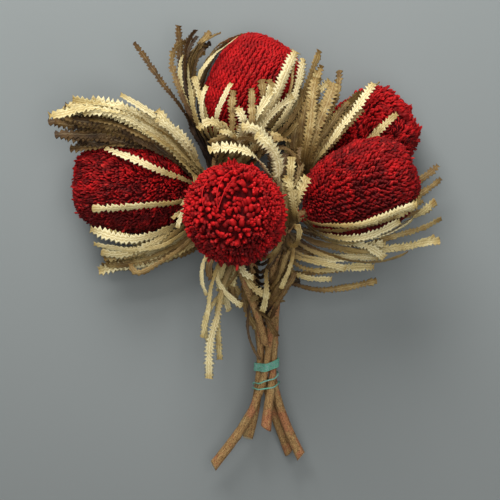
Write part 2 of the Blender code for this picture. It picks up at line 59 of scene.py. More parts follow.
# Flower heads: egg-shaped spikes, widest towards the tip, covered in florets
Head = namedtuple("Head", "base aim length radius")
HEADS = {
    "left": Head((-52, 53, 34), (-0.99, 0.02, 0.10), 106, 41),
    "top": Head((-23, 97, 36), (0.47, 0.88, 0.02), 102, 38.5),
    "front": Head((-4, 18, 96), (-0.13, 0.15, 0.98), 94, 40),
    "right_front": Head((54, 30, 106), (0.91, 0.37, 0.08), 98, 38.5),
    "right_back": Head((72, 73, 22), (0.78, 0.54, 0.28), 92, 37),
}
HEAD_BLUNTNESS = 0.65
HEAD_LEAN_TO_TIP = 0.09
HEAD_REACH = 1.3
TABLE = 0.0

# Stems: spirally laid, so that all five cross in the tie
Stem = namedtuple("Stem", "seat_angle cut cut_heading rise")
TIE_CENTRE = Vector((17.6, -111, 35))
SEAT_RADIUS = 6.6
SPIRAL_PER_MM = 0.026
STEMS = {
    "left": Stem(234, (39, -195, 5.4), (0.35, -0.93, -0.12), 5),
    "top": Stem(306, (50, -198, 21), (0.45, -0.88, -0.10), -15),
    "front": Stem(162, (0, -181, 18), (-0.3, -0.93, -0.2), 4),
    "right_front": Stem(90, (-32, -206, 27), (-0.62, -0.78, -0.05), 0),
    "right_back": Stem(18, (17, -169, 46), (-0.06, -0.99, 0.05), 0),
}
STEM_RADIUS_CUT = 5.2
STEM_RADIUS_TIE = 3.3
STEM_RADIUS_HEAD = 4.8
STEM_SIDES = 8
STEM_RINGS_BELOW = 6
STEM_RINGS_ABOVE = 11
SOCKET_DEPTH = 12.0
FIT_GAP = 0.4

# Twine: three tight turns, a slanting turn down and a loose one below
TWINE_RADIUS = 1.1

# Leaves: narrow saw-toothed blades in fans. A fan's leaves run evenly from its first to its last.
Fan = namedtuple("Fan", "stem count roots width first last faces")
LEAF_TOOTH_PITCH = 17.5
LEAF_NOTCH = 0.62
LEAF_RIB = 1.3
LEAF_FOOT_WIDTH = 2.6
TOOTH_LEAN = 3.4
CROWDED_FOOT = 30
SHORTEST_LEAF = 0.62
BEND_SEED = 4
SHARPEST_BEND = 0.35
SHARPEST_TWIST = 0.6
# A leaf keeps this far from the heads' skin, and this far from every piece that it isn't part of
HEAD_MARGIN = 4.2
LEAF_GAP = 0.3
TRIES = 50
SHAKE_PER_TRY = 0.6
SHAKE_SHARES = (0.35, 0.8, 1.0)
SEEDS_PER_FAN = 1000
CURVE_STEPS = 60
SMOOTHINGS = 4
# How far a leaf's three points past its root stray, and how far they cross the fan, as shares of its spread
STRAYS = (2.0, 5.0, 8.0)
CROSSINGS = (0.08, 0.16, 0.24)
LONGEST_LEAF = 1.04
MOST_ROLL_DEGREES = 38
LEAF_WIDTHS = (0.82, 1.1)
# A blade is full grown past the first share of its length, and narrower again past the second
FOOT_SHARE = 0.28
TIP_SHARE = 0.93
TIP_WIDTH = 0.8
# How a leaf is pushed out of a head, and the height that it keeps above the table
PUSH_ROUNDS = 3
PUSHES = 12
PUSH_POWER = -0.4
PUSH_EXTRA = 0.002
LEAF_HEIGHT = 2.0
# A leaf this near a head turns to lie flat on it, fully so where it is nearer by the fade
FLAT_REACH = 1.2
FLAT_DEPTH = 1.6
FLAT_FADE = 0.4
FLAT_LENGTHWISE = 0.35
FANS = {
    # name: stem, leaves, mm of stem below the head where the first and last root, width,
    #   (bend, bend, tip) of the first leaf, the same of the last, and the way each faces
    "left_arch": Fan("left", 8, (14, 52), 10.5,
                     ((-55, 96, 66), (-98, 152, 96), (-183, 132, 84)),
                     ((-58, 84, 70), (-92, 122, 90), (-152, 117, 80)),
                     ((0.1, 0.4, 0.9), (0, 0.4, 0.9))),
    "left_shade": Fan("left", 5, (8, 40), 9.5,
                      ((-55, 92, 46), (-98, 130, 60), (-180, 116, 56)),
                      ((-52, 88, 30), (-100, 118, 24), (-170, 86, 22)),
                      ((-0.1, 0.5, 0.7), (-0.2, 0.6, 0.7))),
    "left_hook": Fan("left", 1, (30, 30), 7,
                     ((-58, -4, 50), (-104, -44, 62), (-107, -18, 58)),
                     ((-58, -4, 50), (-104, -44, 62), (-107, -18, 58)),
                     ((0, -0.2, 1), (0, -0.2, 1))),
    "left_face_upper": Fan("left", 1, (4, 4), 10,
                           ((-60, 58, 84), (-92, 72, 92), (-128, 87, 76)),
                           ((-60, 58, 84), (-92, 72, 92), (-128, 87, 76)),
                           ((0, 0.45, 0.9), (0, 0.45, 0.9))),
    "left_face_lower": Fan("left", 1, (4, 4), 9.5,
                           ((-62, 36, 80), (-98, 33, 88), (-140, 33, 78)),
                           ((-62, 36, 80), (-98, 33, 88), (-140, 33, 78)),
                           ((0, -0.4, 0.9), (0, -0.4, 0.9))),
    "left_skirt": Fan("left", 8, (10, 52), 9.5,
                      ((-60, 14, 58), (-98, -8, 64), (-150, 13, 62)),
                      ((-40, 2, 18), (-80, -14, 14), (-146, -24, 9)),
                      ((0, -0.4, 0.9), (0, -0.3, 0.95))),
    "front_collar": Fan("front", 4, (8, 28), 11.5,
                        ((38, 20, 112), (30, 92, 176), (-38, 68, 170)),
                        ((42, 44, 92), (26, 108, 132), (-20, 100, 136)),
                        ((0.1, 0.5, 0.85), (0, 0.3, 0.95))),
    "front_hanging": Fan("front", 6, (24, 58), 9.5,
                         ((-24, 2, 78), (-40, -44, 82), (-33, -120, 58)),
                         ((-8, -6, 62), (-22, -40, 50), (-8, -76, 44)),
                         ((-0.2, 0, 1), (0.3, 0, 1))),
    "top_plume": Fan("top", 2, (30, 40), 7.5,
                     ((-44, 96, 42), (-58, 146, 48), (-97, 187, 46)),
                     ((-44, 92, 34), (-68, 150, 40), (-63, 202, 38)),
                     ((0.5, 0.2, 0.8), (0.3, 0, 1))),
    "top_arch": Fan("top", 8, (6, 38), 8.5,
                    ((-46, 92, 52), (-74, 176, 60), (-32, 197, 52)),
                    ((-40, 88, 16), (-62, 186, 12), (4, 194, 10)),
                    ((-0.5, 0.4, 0.7), (-0.6, 0.5, 0.6))),
    "top_face_left": Fan("top", 2, (4, 6), 7,
                         ((-38, 92, 62), (-48, 124, 76), (-37, 143, 72)),
                         ((-32, 92, 74), (-28, 122, 88), (-14, 144, 80)),
                         ((-0.3, 0, 1), (-0.2, 0, 1))),
    "top_face_right": Fan("top", 7, (4, 34), 9,
                          ((2, 92, 80), (22, 126, 92), (46, 169, 80)),
                          ((24, 84, 34), (48, 112, 30), (72, 165, 26)),
                          ((0.3, -0.2, 0.9), (0.5, -0.3, 0.8))),
    "centre_curls": Fan("top", 5, (20, 44), 9,
                        ((-16, 72, 86), (-12, 112, 106), (-41, 104, 98)),
                        ((10, 74, 92), (16, 108, 106), (36, 86, 108)),
                        ((0, 0.3, 1), (0, 0.3, 1))),
    "centre_low": Fan("front", 6, (10, 56), 9,
                      ((12, 30, 88), (14, 66, 74), (12, 100, 58)),
                      ((30, 12, 84), (46, 40, 76), (50, 88, 62)),
                      ((0, 0, 1), (0.2, 0, 1))),
    "centre_back": Fan("right_back", 5, (24, 60), 9.5,
                       ((26, 56, 34), (34, 96, 40), (36, 146, 40)),
                       ((46, 52, 28), (60, 98, 20), (84, 150, 22)),
                       ((0.2, 0, 1), (-0.1, 0, 1))),
    "centre_plume": Fan("right_back", 8, (6, 44), 10,
                        ((34, 66, 56), (46, 104, 64), (54, 144, 58)),
                        ((52, 62, 62), (70, 92, 88), (116, 138, 80)),
                        ((0, 0, 1), (-0.3, 0.2, 0.9))),
    "right_far": Fan("right_back", 4, (10, 30), 8,
                     ((92, 30, 26), (142, 36, 44), (184, 76, 46)),
                     ((88, 12, 20), (134, 16, 26), (178, 40, 26)),
                     ((0, -0.3, 0.9), (0, -0.3, 0.9))),
    "right_face": Fan("right_front", 2, (4, 8), 10,
                      ((66, 4, 132), (100, 12, 146), (150, 41, 130)),
                      ((66, -8, 110), (100, -2, 126), (143, 26, 112)),
                      ((0, -0.5, 0.85), (0, -0.6, 0.8))),
    "right_skirt": Fan("right_front", 6, (10, 52), 9.5,
                       ((70, -8, 98), (114, 2, 100), (166, 8, 94)),
                       ((40, -40, 62), (78, -22, 60), (120, -32, 52)),
                       ((0, -0.3, 0.95), (0, -0.2, 1))),
    "stem_rags": Fan("right_front", 2, (58, 70), 8,
                     ((34, -30, 60), (60, -26, 54), (88, -22, 54)),
                     ((34, -44, 56), (70, -46, 46), (120, -35, 42)),
                     ((0, 0, 1), (0, 0, 1))),
    "right_stand": Fan("right_front", 4, (10, 40), 11,
                       ((42, 10, 120), (46, 40, 140), (64, 72, 146)),
                       ((30, -4, 84), (30, 30, 100), (36, 70, 104)),
                       ((0, -0.2, 1), (-0.2, 0, 1))),
}


def unit(vector):
    return Vector(vector).normalized()


def bezier(points, t):
    """A point of the cubic curve that starts and ends at the outer two of its four control points."""
    s = 1 - t
    a, b, c, d = points
    return a * s**3 + b * (3 * s * s * t) + c * (3 * s * t * t) + d * t**3


def curve(points, steps=CURVE_STEPS):
    """Points along the whole of a cubic curve."""
    return [bezier(points, k / steps) for k in range(steps + 1)]


def evenly_spaced(points, count):
    """count points at equal steps along a polyline."""
    steps = [(q - p).length for p, q in zip(points, points[1:])]
    total = sum(steps)
    found = []
    i = 0
    done = 0.0
    for k in range(count):
        want = total * k / (count - 1)
        while i < len(steps) - 1 and done + steps[i] < want:
            done += steps[i]
            i += 1
        share = (want - done) / steps[i]
        found.append(points[i].lerp(points[i + 1], min(1.0, share)))
    return found


def tangents(points):
    ends = [points[0], *points, points[-1]]
    return [(b - a).normalized() for a, b in zip(ends, ends[2:])]


def ring_frame(axis, hint=(0, 0, 1)):
    """Two directions square to an axis."""
    across = unit(axis).cross(Vector(hint))
    if across.length < 1e-3:
        across = unit(axis).cross(Vector((1, 0, 0)))
    across.normalize()
    return across, unit(axis).cross(across)


def carried_frames(points):
    """(heading, across, side) at each point of a line, carried along it without twist."""
    headings = tangents(points)
    across, _ = ring_frame(headings[0])
    frames, previous = [], headings[0]
    for heading in headings:
        across = (previous.rotation_difference(heading) @ across).normalized()
        frames.append((heading, across, heading.cross(across)))
        previous = heading
    return frames


def closed_rings(rings, sides):
    """The faces of a closed bar: walls between its rings of points, then its two ends."""
    faces = []
    for i in range(rings - 1):
        for k in range(sides):
            a, b = i * sides + k, i * sides + (k + 1) % sides
            faces.append((a, b, b + sides, a + sides))
    last = (rings - 1) * sides
    return [*faces, tuple(range(sides))[::-1], tuple(range(last, last + sides))]


def head_profile(head, angle):
    """Radius and height of the head's skin, angle 0 at its tip and pi at its base."""
    height = head.length * (0.5 + 0.5 * math.cos(angle))
    radius = head.radius * math.sin(angle) ** HEAD_BLUNTNESS * (1 + HEAD_LEAN_TO_TIP * math.cos(angle))
    return radius, height


def seat(stem):
    """Where a stem crosses the tie, and its heading there, towards its head."""
    angle = math.radians(stem.seat_angle)
    offset = Vector((math.cos(angle), 0, math.sin(angle))) * SEAT_RADIUS
    heading = Vector((offset.z * SPIRAL_PER_MM, 1, -offset.x * SPIRAL_PER_MM))
    return TIE_CENTRE + offset, heading.normalized()


def stem_line(name):
    """The stem's centre line and radius, from its cut end to its top inside the head."""
    stem, head = STEMS[name], HEADS[name]
    crossing, heading = seat(stem)
    cut = Vector(stem.cut)
    base, axis = Vector(head.base), unit(head.aim)
    below = (crossing - cut).length
    above = (base - crossing).length
    lower = [cut, cut - unit(stem.cut_heading) * below * 0.35, crossing - heading * below * 0.4, crossing]
    rise = Vector((0, 0, stem.rise))
    upper = [crossing, crossing + heading * above * 0.38 + rise, base - axis * above * 0.3 + rise, base]
    lower_line = evenly_spaced(curve(lower), STEM_RINGS_BELOW)
    upper_line = evenly_spaced(curve(upper), STEM_RINGS_ABOVE)
    line = lower_line + upper_line[1:] + [base + axis * (SOCKET_DEPTH - FIT_GAP)]
    radii = [STEM_RADIUS_CUT + (STEM_RADIUS_TIE - STEM_RADIUS_CUT) * k / (STEM_RINGS_BELOW - 1)
             for k in range(STEM_RINGS_BELOW)]
    radii += [STEM_RADIUS_TIE + (STEM_RADIUS_HEAD - STEM_RADIUS_TIE) * k / (STEM_RINGS_ABOVE - 1)
              for k in range(1, STEM_RINGS_ABOVE)]
    return line, radii + [STEM_RADIUS_HEAD]


def tube(points, radii, sides):
    """Points and faces of a round bar along a line."""
    corners = []
    for centre, radius, (_, across, side) in zip(points, radii, carried_frames(points)):
        for k in range(sides):
            turn = 2 * math.pi * k / sides
            corners.append(centre + (across * math.cos(turn) + side * math.sin(turn)) * radius)
    return corners, closed_rings(len(points), sides)


def point_below_head(name, distance):
    """The point of a stem's centre line this far below its head."""
    line, _ = stem_line(name)
    walk = line[-2::-1]
    for p, q in zip(walk, walk[1:]):
        step = (q - p).length
        if distance <= step:
            return p.lerp(q, distance / step)
        distance -= step
    return walk[-1]


def fan_leaves(fan, seed, wild):
    """(control points, facing, width, roll) of each leaf of a fan."""
    draw = random.Random(seed)
    leaves = []
    for k in range(fan.count):
        share = k / (fan.count - 1) if fan.count > 1 else 0.0
        root = point_below_head(fan.stem, fan.roots[0] + (fan.roots[1] - fan.roots[0]) * share)
        jitter = 0.0 if fan.count < 3 else wild
        control = [root]
        for a, b, spread, cross in zip(fan.first, fan.last, STRAYS, CROSSINGS):
            shake = Vector([draw.uniform(-1, 1) for _ in range(3)]) * spread * jitter
            along = max(-0.1, min(1.1, share + draw.uniform(-cross, cross) * jitter))
            control.append(Vector(a).lerp(Vector(b), along) + shake)
        shorter = draw.uniform(SHORTEST_LEAF, LONGEST_LEAF) if jitter else 1.0
        control[3] = control[2].lerp(control[3], shorter)
        facing = Vector(fan.faces[0]).lerp(Vector(fan.faces[1]), share).normalized()
        roll = math.radians(draw.uniform(-MOST_ROLL_DEGREES, MOST_ROLL_DEGREES)) * jitter
        leaves.append((control, facing, fan.width * draw.uniform(*LEAF_WIDTHS), roll))
    return leaves


def blade_width(share, width, is_tooth):
    """Half width of the blade: a narrow foot, then teeth and notches to a blunt end."""
    grown = min(1.0, share / FOOT_SHARE)
    full = LEAF_FOOT_WIDTH + (width - LEAF_FOOT_WIDTH) * grown
    if share > TIP_SHARE:
        full *= TIP_WIDTH
    return 0.5 * full * (1.0 if is_tooth else LEAF_NOTCH + (1 - LEAF_NOTCH) * (1 - grown))


HeadBody = namedtuple("HeadBody", "middle axis half radius reach")


def head_body(head):
    """A head's skin with its margin."""
    axis = unit(head.aim)
    half = head.length * 0.5 + HEAD_MARGIN
    radius = head.radius + HEAD_MARGIN
    middle = Vector(head.base) + axis * head.length * 0.5
    return HeadBody(middle, axis, half, radius, HEAD_REACH * max(half, radius))


HEAD_BODIES = {name: head_body(head) for name, head in HEADS.items()}


def depth_in_head(body, offset):
    """Below 1 inside a head's skin and its margin, above 1 outside, at this offset from its middle."""
    along = offset.dot(body.axis)
    share = along / body.half
    wide = body.radius * (1 + HEAD_LEAN_TO_TIP * max(-1.0, min(1.0, share)))
    return share**2 + ((offset - body.axis * along).length / wide) ** (2 / HEAD_BLUNTNESS)


def clear_of_heads(point):
    """The point moved straight out of any head that it's in, and up off the table."""
    for _ in range(PUSH_ROUNDS):
        moved = False
        for body in HEAD_BODIES.values():
            offset = point - body.middle
            if offset.length > body.reach:
                continue
            for _ in range(PUSHES):
                depth = depth_in_head(body, offset)
                if depth >= 1:
                    break
                moved = True
                offset = offset * (max(depth, 0.01) ** PUSH_POWER + PUSH_EXTRA)
            point = body.middle + offset
        if not moved:
            break
    point.z = max(point.z, TABLE + LEAF_HEIGHT)
    return point


def flat_on_heads(point, facing):
    """The way a blade faces here: along a head's skin where it lies on one."""
    turned = facing.copy()
    for body in HEAD_BODIES.values():
        offset = point - body.middle
        if offset.length > body.reach * FLAT_REACH:
            continue
        depth = depth_in_head(body, offset)
        if depth < FLAT_DEPTH:
            out = offset - body.axis * offset.dot(body.axis) * FLAT_LENGTHWISE
            turned = turned.lerp(unit(out), min(1.0, (FLAT_DEPTH - depth) / FLAT_FADE))
    return turned.normalized()


def leaf_line(control):
    """The leaf's centre line, clear of the heads and smoothed again."""
    fine = curve(control)
    line = [fine[0], *[clear_of_heads(p) for p in fine[1:]]]
    for _ in range(SMOOTHINGS):
        middle = [(a + b * 2 + c) * 0.25 for a, b, c in zip(line, line[1:], line[2:])]
        line = [line[0], *[clear_of_heads(p) for p in middle], line[-1]]
    return line


def leaf_blade(fine, facing, width, roll, grown=0.0):
    """A three-sided blade: two saw-toothed edges and a rib along the side that it shows."""
    length = sum((q - p).length for p, q in zip(fine, fine[1:]))
    teeth = max(4, round(length / LEAF_TOOTH_PITCH))
    line = evenly_spaced(fine, 2 * teeth + 1)
    corners, faces = [], []
    for i, (centre, heading) in enumerate(zip(line, tangents(line))):
        share = i / (2 * teeth)
        across = heading.cross(flat_on_heads(centre, facing)).normalized()
        across = Quaternion(heading, roll * share) @ across
        top = across.cross(heading).normalized()
        half = blade_width(share, width, i % 2 == 1) + grown
        forward = heading * (TOOTH_LEAN if i % 2 else 0.0) - top * grown
        corners += [centre - across * half + forward, centre + across * half + forward]
        if i % 2 == 0:
            corners.append(centre + top * (LEAF_RIB + grown))
    for i in range(teeth):
        left, right, rib, tooth_left, tooth_right, next_left, next_right, next_rib = range(5 * i, 5 * i + 8)
        faces += [(rib, tooth_left, left), (rib, next_rib, tooth_left), (next_rib, next_left, tooth_left)]
        faces += [(rib, right, tooth_right), (rib, tooth_right, next_rib)]
        faces += [(next_rib, tooth_right, next_right)]
        faces += [(left, tooth_left, right), (right, tooth_left, tooth_right)]
        faces += [(tooth_left, next_left, tooth_right), (tooth_right, next_left, next_right)]
    last = 5 * teeth
    faces += [(0, 1, 2), (last, last + 2, last + 1)]
    return corners, faces


def is_folded(corners):
    """Whether a blade turns or twists so sharply that an edge runs backwards or a side turns under."""
    rows = [corners[5 * i + k:5 * i + k + 2] for i in range(len(corners) // 5) for k in (0, 3)]
    middles = [(a + b) * 0.5 for a, b in rows]
    for (a, b), (c, d), p, q in zip(rows, rows[1:], middles, middles[1:]):
        if (c - a).dot(q - p) <= 0 or (d - b).dot(q - p) <= 0:
            return True
        if (b - a).normalized().dot((d - c).normalized()) < SHARPEST_TWIST:
            return True
    return any((b - a).normalized().dot((c - b).normalized()) < SHARPEST_BEND
               for a, b, c in zip(middles, middles[1:], middles[2:]))


def outer_part(faces):
    """The faces of a blade beyond the crowd at its foot."""
    return faces[len(faces) * CROWDED_FOOT // 100:-2]


def surface(corners, faces):
    """A search tree of a surface, for finding what crosses it."""
    return BVHTree.FromPolygons([tuple(c) for c in corners], faces)


def wildness(fan_name, fan):
    """How far a fan's leaves stray: more than in the part's source where a loose fan is only here."""
    calm = fan_name in FANS or fan.stem == "left" or fan_name.startswith("stem_mass")
    return 1.0 if calm else LOOSE_WILDNESS


def settled_leaves(bodies, fans):
    """Every leaf's line, facing, width and roll by stem, each bent as little as clears the other pieces.

    bodies holds (stem it belongs to, surface) of the heads, the bare stems and the tie. A leaf that the part
    has too also keeps off the other leaves, off those of its own stem until half of its tries have failed.
    """
    taken = list(bodies)
    settled = {name: [] for name in STEMS}
    outers = {name: [] for name in STEMS}
    for seed, (fan_name, fan) in enumerate(fans.items()):
        in_part = fan_name in FANS
        for k, (control, facing, width, roll) in enumerate(fan_leaves(fan, seed, wildness(fan_name, fan))):
            draw = random.Random(SEEDS_PER_FAN * seed + k + BEND_SEED)
            for attempt in range(TRIES):
                spread = SHAKE_PER_TRY * (attempt % (TRIES // 2))
                moved = [control[0]]
                for point, part in zip(control[1:], SHAKE_SHARES):
                    shake = Vector([draw.uniform(-1, 1) for _ in range(3)])
                    moved.append(point + shake * spread * part)
                line = leaf_line(moved)
                turn = roll + math.radians(draw.uniform(-1, 1) * spread)
                corners, faces = leaf_blade(line, facing, width, turn, LEAF_GAP)
                if min(c.z for c in corners) < TABLE + 0.2 or is_folded(corners):
                    continue
                tree = surface(corners, faces)
                obstacles = taken if in_part else bodies
                if any(owner != fan.stem and tree.overlap(other) for owner, other in obstacles):
                    continue
                outer = surface(corners, outer_part(faces))
                early = in_part and attempt < TRIES // 2
                if early and any(outer.overlap(other) for other in outers[fan.stem]):
                    continue
                blade = leaf_blade(line, facing, width, turn)
                settled[fan.stem].append((fan_name, f"{fan_name}_{k}", line, facing, width, turn))
                taken.append((fan.stem, surface(*blade)))
                outers[fan.stem].append(surface(blade[0], outer_part(blade[1])))
                break
    return settled


def stem_section(name, y):
    """A stem's centre and radius where it crosses the plane at y, with its slant allowed for."""
    line, radii = stem_line(name)
    for i, (p, q) in enumerate(zip(line, line[1:])):
        if p.y <= y <= q.y:
            share = (y - p.y) / (q.y - p.y)
            slant = (q - p).normalized().y
            return p.lerp(q, share), (radii[i] + (radii[i + 1] - radii[i]) * share) / slant
    return Vector(line[0]), radii[0]


def round_the_stems(angle, y, clearance):
    """The point of a taut loop round all five stems, facing this angle."""
    out = Vector((math.cos(angle), 0, math.sin(angle)))
    best = max((stem_section(name, y) for name in STEMS), key=lambda s: s[0].dot(out) + s[1])
    return best[0] + out * (best[1] + clearance)


# Florets and their cores, in millimetres unless the name says otherwise
SKIN_STEPS = 900
CORE_RINGS = 48
CORE_SIDES = 64
CORE_DEPTH = 1.6
FLORET_SPACING = 2.6
FLORET_ROW_STEP = 2.25
FLORET_ROOT_DEPTH = 2.4
FLORET_LENGTH = 6.2
FLORET_THICKNESS = 1.5
CLUB_SHARE = 0.66
FEWEST_IN_RING = 5
MOST_ROOM = 1.25
STOUT_RISE = 2.2
ROW_STRAY = 0.024
COLUMN_STRAY = 0.38
# How far neighbours act alike: in length, in the way they lean, and in the way they gather
CLUMP_WAVE = 9
DRIFT_WAVE = 14
GATHER_WAVE = 6.0
CLUMPING = 0.34
DRIFTING = 2.0
GATHERING = 0.8
LENGTHS = (0.84, 1.08)
GIRTHS = (0.8, 1.2)
PROUD_SHARE = 0.06
PROUD_LENGTHS = (1.15, 1.5)
HOLLOW_LENGTH = 0.45
LENGTH_BY_TABLE = 0.55
SEAT_HEIGHT = 0.6
FADED_SHARE = 0.02
BRIGHTEST = 0.96
# Painted shade: how much darker the florets that face the stems are made
RIM_SHADE_PAINTED = 0.55
LOW_FLORETS = 26
LOW_REACH = 13

# Hairs and long strands over the florets
HAIR_LENGTH = 9.0
HAIR_LENGTHS = (0.35, 1.0)
HAIR_RADIUS = 0.11
HAIRS_PER_HEAD = 110
HAIR_STEPS = 6
HAIR_CURL = 0.28
HAIR_DROOP = 0.35
HAIR_GIRTHS = [1.0, 1.0, 1.0, 0.9, 0.8, 0.6, 0.4]
LOOSE_STRAND_RADIUS = 0.5
STRAND_STEPS = 16
LOOSE_STRANDS = (((-10, 62), (-24, 60), (-28, 40), (-24, 28)),
                 ((-5, 58), (-18, 54), (-20, 40), (-26, 26)),
                 ((-28, 58), (-38, 52), (-40, 40), (-36, 30)))

# Leaves as they are seen: finer and more varied than the solids' blades
NOISE_SEED = 3
LEAF_STEP = 2.5
FEWEST_STEPS = 12
FOOT_WIDTH = 3.0
LEAF_TWIST = math.radians(15)
TWIST_WAVES = 8
LOOSE_RISE = 3
WANDER = 3.4
WANDER_WAVE = 34.0
TONE_SPREAD = (-0.38, 0.16)
FOLDS = (-0.28, 0.4)
TOOTH_PITCH = {"left": 4.3, "top": 3.3, "front": 3.6, "right_front": 3.5, "right_back": 3.5}
TOOTH_DEPTH = 0.58
TOOTH_DEPTHS = (0.88, 1.1)
TOOTH_FORWARD = 0.85
TEETH_STAND_OUT = 1.12
TORN = 0.25
FULL_TEETH_WIDTH = 8.5
FULL_WIDTH_FROM = (0.7, 0.95)
BLUNT_FROM = 0.975
BLUNT_WIDTH = 0.82
BLADE_FLATNESS = 0.06
BLADE_RIDGE = 0.12
BLADE_WAVE = 1.7
BLADE_LIFT = 0.75

# Bark, its knots and its cut ends
BARK_SIDES = 28
BARK_STEP = 2.2
BARK_THIN = 0.07
RIDGE_THIN = 0.03
RIDGE_TURNS = 2.2
RIDGE_WAVE = 16
RIDGE_HEIGHT = 0.35
GRIT_TURNS = 5
GRIT_WAVE = 3.5
GRIT_HEIGHT = 0.2
KNOTS = 12
KNOT_PLACES = (0.05, 0.9)
KNOT_LENGTH = 2.4
KNOT_GIRTH = 3.6
KNOT_HEIGHT = 0.8
GIRTH_UNITS = 30
CUT_SLANT = 2.6
CUT_RINGS = 4
FORK = ((16, -92, 50), (13, -70, 54), (0, -42, 64), (-10, -12, 78))
FORK_STEPS = 30
FORK_RADIUS = 3.6
FORK_RINGS = 16

# Twine, of plies laid round one another
STRANDS_SIDE_BY_SIDE = 2
STRAND_RADIUS = 0.72
STRAND_CLOSENESS = 0.9
PLY_COUNT = 3
PLY_RADIUS = 0.42
PLY_LAY = 5.0
TWINE_SAG = 2.6
TWINE_SLANT = 0.13
SECOND_STRAND_POINTS = 195
POINTS_OF_A_TURN = 60

# The surface below
CLEAR_OF_TABLE = 0.3
# Painted shade: the board darkens towards the cut stems over this distance either side of the middle
PAINTED_FLOOR_SHADE_SPAN = 260.0
FLOOR_SIZE = 3000
FLOOR_HEIGHT = -0.2

# The kinds of node that are used most
MATH = "ShaderNodeMath"
VECTOR_MATH = "ShaderNodeVectorMath"
MIX = "ShaderNodeMix"
RAMP = "ShaderNodeValToRGB"
NOISE = "ShaderNodeTexNoise"
ATTRIBUTE = "ShaderNodeAttribute"
OWN_VALUE = "GeometryNodeInputNamedAttribute"
KEEP_VALUE = "GeometryNodeStoreNamedAttribute"
MULTIPLIED = {"data_type": "RGBA", "blend_type": "MULTIPLY"}


def linear(code):
    """An sRGB hex colour as the linear colour that Blender's sockets take."""
    parts = [int(code[i:i + 2], 16) / 255 for i in (1, 3, 5)]
    return (*[c / 12.92 if c <= 0.04045 else ((c + 0.055) / 1.055) ** 2.4 for c in parts], 1.0)


def add(tree, kind, sockets=None, stops=(), **settings):
    """What a new node gives. Its inputs are set or linked by name or number, and a ramp has its stops."""
    made = tree.nodes.new(kind)
    for key, value in settings.items():
        setattr(made, key, value)
    while stops and len(made.color_ramp.elements) < len(stops):
        made.color_ramp.elements.new(0.5)
    for k, (place, code) in enumerate(stops):
        made.color_ramp.elements[k].position = place
        made.color_ramp.elements[k].color = linear(code)
    for key, value in (sockets or {}).items():
        if isinstance(value, bpy.types.NodeSocket):
            tree.links.new(value, made.inputs[key])
        else:
            made.inputs[key].default_value = linear(value) if str(value).startswith("#") else value
    return made.outputs


def made_material(painted):
    """The material that a function of that name paints, given its tree and the place in millimetres."""
    material = bpy.data.materials.new(painted.__name__)
    material.use_nodes = True
    tree = material.node_tree
    tree.nodes.clear()
    place = add(tree, VECTOR_MATH, {0: add(tree, "ShaderNodeTexCoord")["Object"], 1: (1 / MM,) * 3},
                operation="MULTIPLY")["Vector"]
    shader = add(tree, "ShaderNodeBsdfPrincipled", painted(tree, place))
    add(tree, "ShaderNodeOutputMaterial", {"Surface": shader["BSDF"]})
    return material


def dyed_dried_florets(tree, place):
    """Dried florets steeped in red dye: matte, bright at the tips and darker towards the foot as painted shade
    between them, with a few faded ones. The tone that darkens some florets is partly painted shade.
    """
    reach, tone = (add(tree, ATTRIBUTE, attribute_name=name)["Fac"] for name in ("reach", "tone"))
    # Painted shade: each floret darkens towards its foot, where the florets shade one another
    base = add(tree, RAMP, {"Fac": reach},
               [(0.0, "#6E0507"), (0.45, "#9E090C"), (0.75, "#B80D10"), (1.0, "#C81417")])["Color"]
    patches = add(tree, NOISE, {"Vector": place, "Scale": 0.07, "Detail": 4.0, "Roughness": 0.65})["Fac"]
    worn = add(tree, RAMP, {"Fac": patches}, [(0.3, "#C8BEBE"), (0.6, "#FFFFFF")])["Color"]
    shaded = add(tree, MIX, {0: 1.0, 6: base, 7: worn}, **MULTIPLIED)[2]
    # The tone carries painted shade: the rims and heads that lie away from the light are darker
    own = add(tree, RAMP, {"Fac": tone},
              [(0.0, "#807272"), (0.35, "#CCC2C2"), (0.65, "#FFFFFF"), (1.0, "#FFFFFF")])["Color"]
    toned = add(tree, MIX, {0: 1.0, 6: shaded, 7: own}, **MULTIPLIED)[2]
    faded = add(tree, RAMP, {"Fac": tone}, [(0.965, "#000000"), (0.975, "#707070")])["Color"]
    colour = add(tree, MIX, {0: faded, 6: toned, 7: "#E0584C"}, data_type="RGBA")[2]
    return {"Base Color": colour, "Roughness": 0.7, "Specular IOR Level": 0.22}


def dyed_core_painted_shade(tree, place):
    """The woody core, seen only as the dark between florets: stained by the dye, and darkened further as
    painted shade in the gaps.
    """
    grain = add(tree, NOISE, {"Vector": place, "Scale": 0.5, "Detail": 3.0})["Fac"]
    # Painted shade: the core is near black so that the gaps between florets read as shadow
    colour = add(tree, RAMP, {"Fac": grain}, [(0.3, "#260203"), (0.7, "#4C0406")])["Color"]
    return {"Base Color": colour, "Roughness": 0.9, "Specular IOR Level": 0.1}


